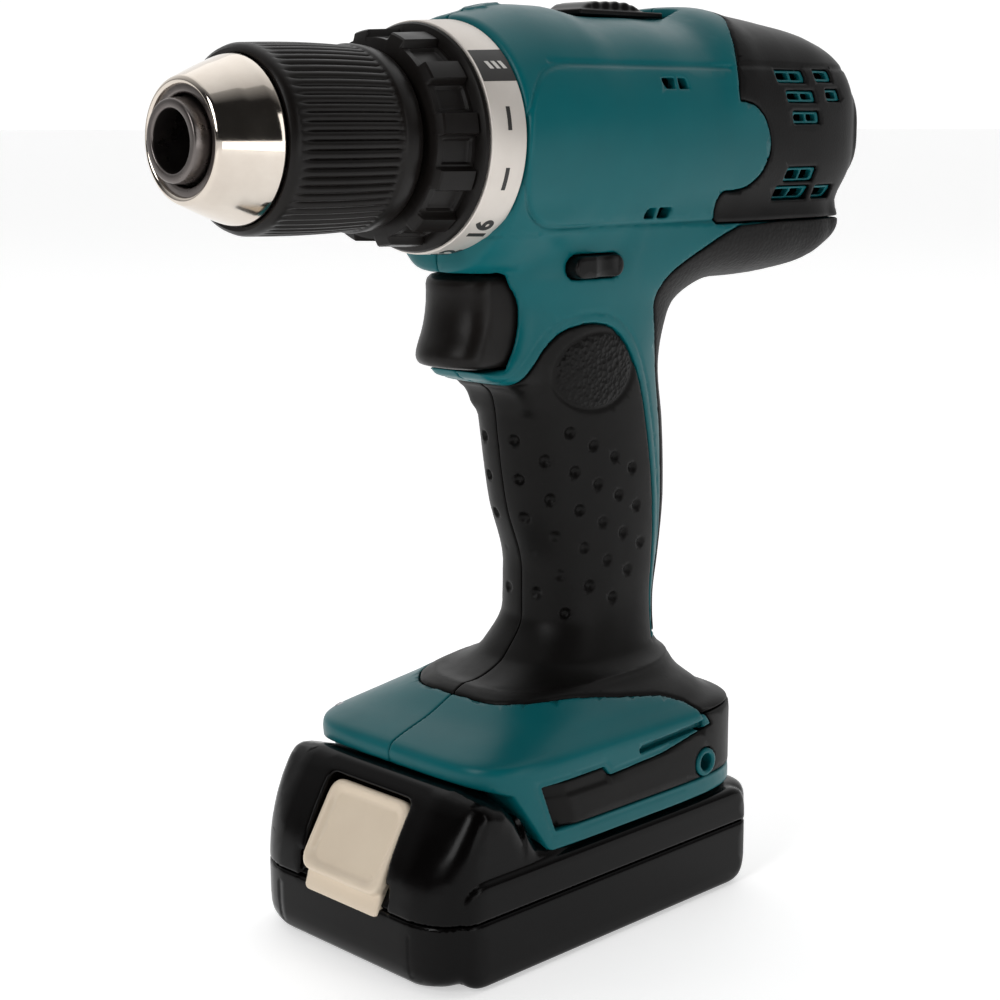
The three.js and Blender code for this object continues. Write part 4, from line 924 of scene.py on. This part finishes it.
def build_chuck():
    """The chuck's turning parts: the dark core with its bore, the collar and the chrome nose."""
    nose = softened([
        (-100, 6.8), (-100, 8.9), (-95.6, 9.3), (-92, 11), (-85, 12.8), (-72, 12.8), (-72, 17.0),
        (-48.6, 17.0), (-48.6, 6.4), (-64, 6.4), (-64, 6.8),
    ], 0.6)
    place(turned("chuck_core", nose, 128, closed=True), "spindle", "dark_steel", DARK_STEEL, "chuck_body")
    collar = softened([
        (-96.2, 9.9), (-96.6, 10.4), (-96.6, 12.2), (-93, 12.2), (-88, 11.6), (-88, 10.4),
    ], 0.3)
    place(turned("chuck_collar", collar, 128, closed=True), "sleeve", "dark_steel", DARK_STEEL)
    cone = softened([
        (-95.5, 11.7), (-97.1, 11.9), (-97.6, 12.7), (-97.0, 13.6), (-90.4, 16.4), (-85, 18.35),
        (-83.3, 18.75), (-83.3, 17.2), (-90, 14.6),
    ], 0.8, 5)
    place(turned("chrome_nose", cone, 192, closed=True), "sleeve", "chrome", CHROME, "sleeve_nose")
    build_sleeve()


def build_sleeve():
    """The hand sleeve: a belt of fine ribs that fade at both ends, between two plain bands."""
    belt = np.linspace(-81.4, -52.6, 40)
    swell = [(x, 20.75 + 0.45 * math.sin(math.pi * (x + 83) / 34)) for x in belt]
    rear = [(-52.2, 21.2), (-51.6, 21.35), (-48.6, 21.1), (-46.7, 20.6), (-46.2, 20.0), (-46.2, 18.0)]
    front = [(-82.0, 18.5), (-83.0, 18.7), (-83.2, 19.6), (-82.7, 20.3), (-82.0, 20.6)]
    profile = [(-48.6, 17.6), (-50, 18.9), (-81.6, 18.5)] + front + swell + rear

    rib_count, steps_per_rib, rib_depth = 64, 8, 0.62

    def ribs(x, angle, r):
        fade = np.clip((x + 81.4) / 3.5, 0, 1) * np.clip((-52.6 - x) / 1.2, 0, 1) * (r > 19.9)
        wave = np.abs(np.sin(angle * rib_count / 2))
        return -rib_depth * fade * (1 - wave ** 0.7)

    sleeve = turned("hand_sleeve", profile, rib_count * steps_per_rib, ribs, closed=True)
    place(sleeve, "sleeve", "black_plastic", RING, "chuck_sleeve")


def build_ring():
    """The torque ring: twelve raised grips with sunk panels between them, and a flared rim behind."""
    run = np.linspace(-44.4, -33.4, 24)
    body = [(x, 22.9 + 0.05 * (x + 44)) for x in run]
    profile = [(-42.8, 15.6), (-44.3, 15.8), (-44.7, 16.4), (-44.7, 22.0)] + body
    profile += [
        (-33.1, 25.4), (-32.7, 26.3), (-32.1, 26.7), (-31.75, 26.5), (-31.75, 23.9), (-21.2, 23.9),
        (-21.2, 19.8), (-42.8, 19.8),
    ]
    grip_height, panel_depth = 1.8, 0.7

    def blocks(x, angle, r):
        along = np.clip((x + 44.5) / 0.7, 0, 1) * np.clip((-33.2 - x) / 0.5, 0, 1)
        pitch = math.radians(30)
        phase = (angle + math.radians(15 - RING_PHASE) + math.pi) % pitch - pitch / 2
        away = np.abs(phase) * 24
        block = np.clip((2.75 - away) / 0.5, 0, 1)
        panel_along = np.clip((x + 42.9) / 0.5, 0, 1) * np.clip((-34.4 - x) / 0.5, 0, 1)
        panel = np.clip((away - 3.3) / 0.45, 0, 1) * panel_along
        outer = (r > 22) & (r < 24) & (x < -33.2)
        return np.where(outer, along * (grip_height * block - panel_depth * panel), 0)

    ring = turned("torque_collar", profile, 720, blocks, closed=True)
    ring.data.set_sharp_from_angle(angle=math.radians(30))
    place(ring, "torque_ring", "black_plastic", RING, "torque_ring")
    band = softened([
        (BAND_FRONT, 24.2), (BAND_FRONT, BAND_FRONT_RADIUS), (BAND_REAR, BAND_REAR_RADIUS),
        (BAND_REAR, 24.2),
    ], 0.35)
    scale = turned("silver_scale", band, 256, closed=True)
    place(scale, "torque_ring", "silver_paint", SILVER, "scale_band")
    build_marks()


def band_point(x, degrees, lift):
    """A point on the scale, at an angle above the left side."""
    share = (x - BAND_FRONT) / (BAND_REAR - BAND_FRONT)
    radius = BAND_FRONT_RADIUS + (BAND_REAR_RADIUS - BAND_FRONT_RADIUS) * share + lift
    a = math.radians(degrees)
    return x, -radius * math.cos(a), AXIS_Z + radius * math.sin(a)


def strip_mesh(x0, x1, a0, a1, lean, lift, thick=0.12):
    """A curved strip on the scale, as a closed thin plate of quads."""
    steps = max(2, int(abs(a1 - a0) / 1.5) + 1)
    points = []
    for i in range(steps + 1):
        a = a0 + (a1 - a0) * i / steps
        shift = lean * i / steps
        for x, h in ((x0, lift - thick), (x1, lift - thick), (x1, lift), (x0, lift)):
            points.append(band_point(x + shift, a, h))
    faces = [(3, 2, 1, 0), tuple(4 * steps + k for k in range(4))]
    for i in range(steps):
        for k in range(4):
            m = (k + 1) % 4
            faces.append((4 * i + k, 4 * i + m, 4 * i + 4 + m, 4 * i + 4 + k))
    return points, faces


def mark_object(name, parts, material, slot):
    """Joins the marks of one colour into one piece that turns with the ring."""
    points, faces = [], []
    for part_points, part_faces in parts:
        base = len(points)
        points += part_points
        faces += [tuple(base + i for i in face) for face in part_faces]
    piece = mesh_object(name, points, faces)
    piece.data.shade_flat()
    return place(piece, "torque_ring", slot, material)


def numeral(text, degrees):
    """A plain number laid round the scale, its top towards the chuck."""
    curve = bpy.data.curves.new("numeral_" + text, "FONT")
    curve.body = text
    curve.size = 7.0
    curve.extrude = 0.07
    curve.align_x = "CENTER"
    curve.align_y = "CENTER"
    curve.offset = 0.26
    source = bpy.data.objects.new("numeral_" + text, curve)
    bpy.context.scene.collection.objects.link(source)
    bpy.context.view_layer.update()
    mesh = bpy.data.meshes.new_from_object(source.evaluated_get(bpy.context.evaluated_depsgraph_get()))
    bpy.data.objects.remove(source)
    middle_x, radius, lift = -26.2, 27.3, 0.01
    points = []
    for v in mesh.vertices:
        around = math.degrees(v.co.x / radius)
        points.append(band_point(middle_x - v.co.y, degrees + around, lift + v.co.z))
    faces = [tuple(f.vertices)[::-1] for f in mesh.polygons]
    bpy.data.meshes.remove(mesh)
    return points, faces


def build_marks():
    """The scale: a dark field with the drill symbol, two dashes and the numbers below them."""
    dark = [strip_mesh(-31.2, -21.25, 28.2, 46.8, 0, 0.05)]
    dark += [strip_mesh(-26.75, -25.6, a, a + 11.3, 0, 0.06) for a in (4.1, -25.0)]
    dark += [numeral(str(number), angle) for number, angle in SCALE_NUMBERS.items()]
    mark_object("scale_marks", dark, MARKING, "silver_paint")
    ticks = [strip_mesh(x, x + 1.1, 35.0, 39.4, -0.9, 0.11) for x in (-27.6, -25.6, -23.6)]
    mark_object("drill_symbol", ticks, PALE_MARKING, "silver_paint")


# ---------- camera, floor and light

def aim(thing, target):
    direction = Vector(target) - thing.location
    thing.rotation_euler = direction.to_track_quat("-Z", "Y").to_euler()


def soft_light(name, location, target, size, energy, tint=(1, 1, 1)):
    data = bpy.data.lights.new(name, "AREA")
    data.shape = "RECTANGLE"
    data.size, data.size_y = size
    data.energy = energy
    data.color = tint
    light = bpy.data.objects.new(name, data)
    light.location = location
    bpy.context.scene.collection.objects.link(light)
    aim(light, target)


def build_camera():
    camera_data = bpy.data.cameras.new("camera")
    camera_data.lens = 69.33
    camera_data.sensor_width = 36
    camera_data.shift_x, camera_data.shift_y = -0.0084, -0.0119
    camera_data.clip_start = 0.01
    camera = bpy.data.objects.new("camera", camera_data)
    yaw, pitch, roll = math.radians(45.32), math.radians(-10.8), math.radians(-0.08)
    forward = Vector((math.cos(yaw) * math.cos(pitch), math.sin(yaw) * math.cos(pitch), math.sin(pitch)))
    turn = forward.to_track_quat("-Z", "Y").to_matrix().to_4x4() @ Matrix.Rotation(roll, 4, "Z")
    camera.matrix_world = Matrix.Translation((-0.33895, -0.34283, 0.20207)) @ turn
    bpy.context.scene.collection.objects.link(camera)
    bpy.context.scene.camera = camera


def build_floor():
    size = 40.0
    corners = [(-size, -size, 0), (size, -size, 0), (size, size, 0), (-size, size, 0)]
    floor = mesh_object("floor", np.array(corners) / MM, [(0, 1, 2, 3)])
    paper = finish_material("pale_floor", (0.86, 0.86, 0.86), (0.88, 0.88, 0.88), (0.6, 0.7), shine=0.1)
    glow = paper.node_tree.nodes["Principled BSDF"].inputs
    glow["Emission Color"].default_value = (1, 1, 1, 1)
    glow["Emission Strength"].default_value = 0.5
    floor.data.materials.append(paper)


def build_lights():
    middle = (0.0, 0.0, 0.13)
    soft_light("key", (-1.1, -0.15, 0.75), middle, (0.35, 0.8), 5.4)
    soft_light("side", (0.25, -1.2, 0.5), middle, (0.3, 0.8), 1.4)
    soft_light("low", (-0.05, -0.8, 0.1), (-0.09, 0.0, 0.19), (0.5, 0.16), 0.4)
    soft_light("top", (0.5, 0.5, 2.0), middle, (2.5, 2.5), 6.5)


def build_world():
    """Bright behind the tool and dim on the other side, so that dark plastic keeps its depth."""
    world = bpy.data.worlds.new("studio")
    world.use_nodes = True
    nodes, links = world.node_tree.nodes, world.node_tree.links
    direction = nodes.new("ShaderNodeTexCoord").outputs["Generated"]
    dot = nodes.new("ShaderNodeVectorMath")
    dot.operation = "DOT_PRODUCT"
    dot.inputs[1].default_value = (0.62, 0.62, 0.4)
    links.new(direction, dot.inputs[0])
    strength = ranged(nodes, links, dot.outputs["Value"], 0.02, 1.1, -0.05, 0.9)
    background = nodes["Background"]
    background.inputs["Color"].default_value = (1, 1, 1, 1)
    links.new(strength, background.inputs["Strength"])
    bpy.context.scene.world = world
    bpy.context.scene.view_settings.view_transform = "Standard"


# ---------- the whole

dress_frame()
build_casing()
build_cover()
build_trigger()
build_lever()
build_selector()
build_battery()
build_button()
build_chuck()
build_ring()
build_camera()
build_floor()
build_world()
build_lights()
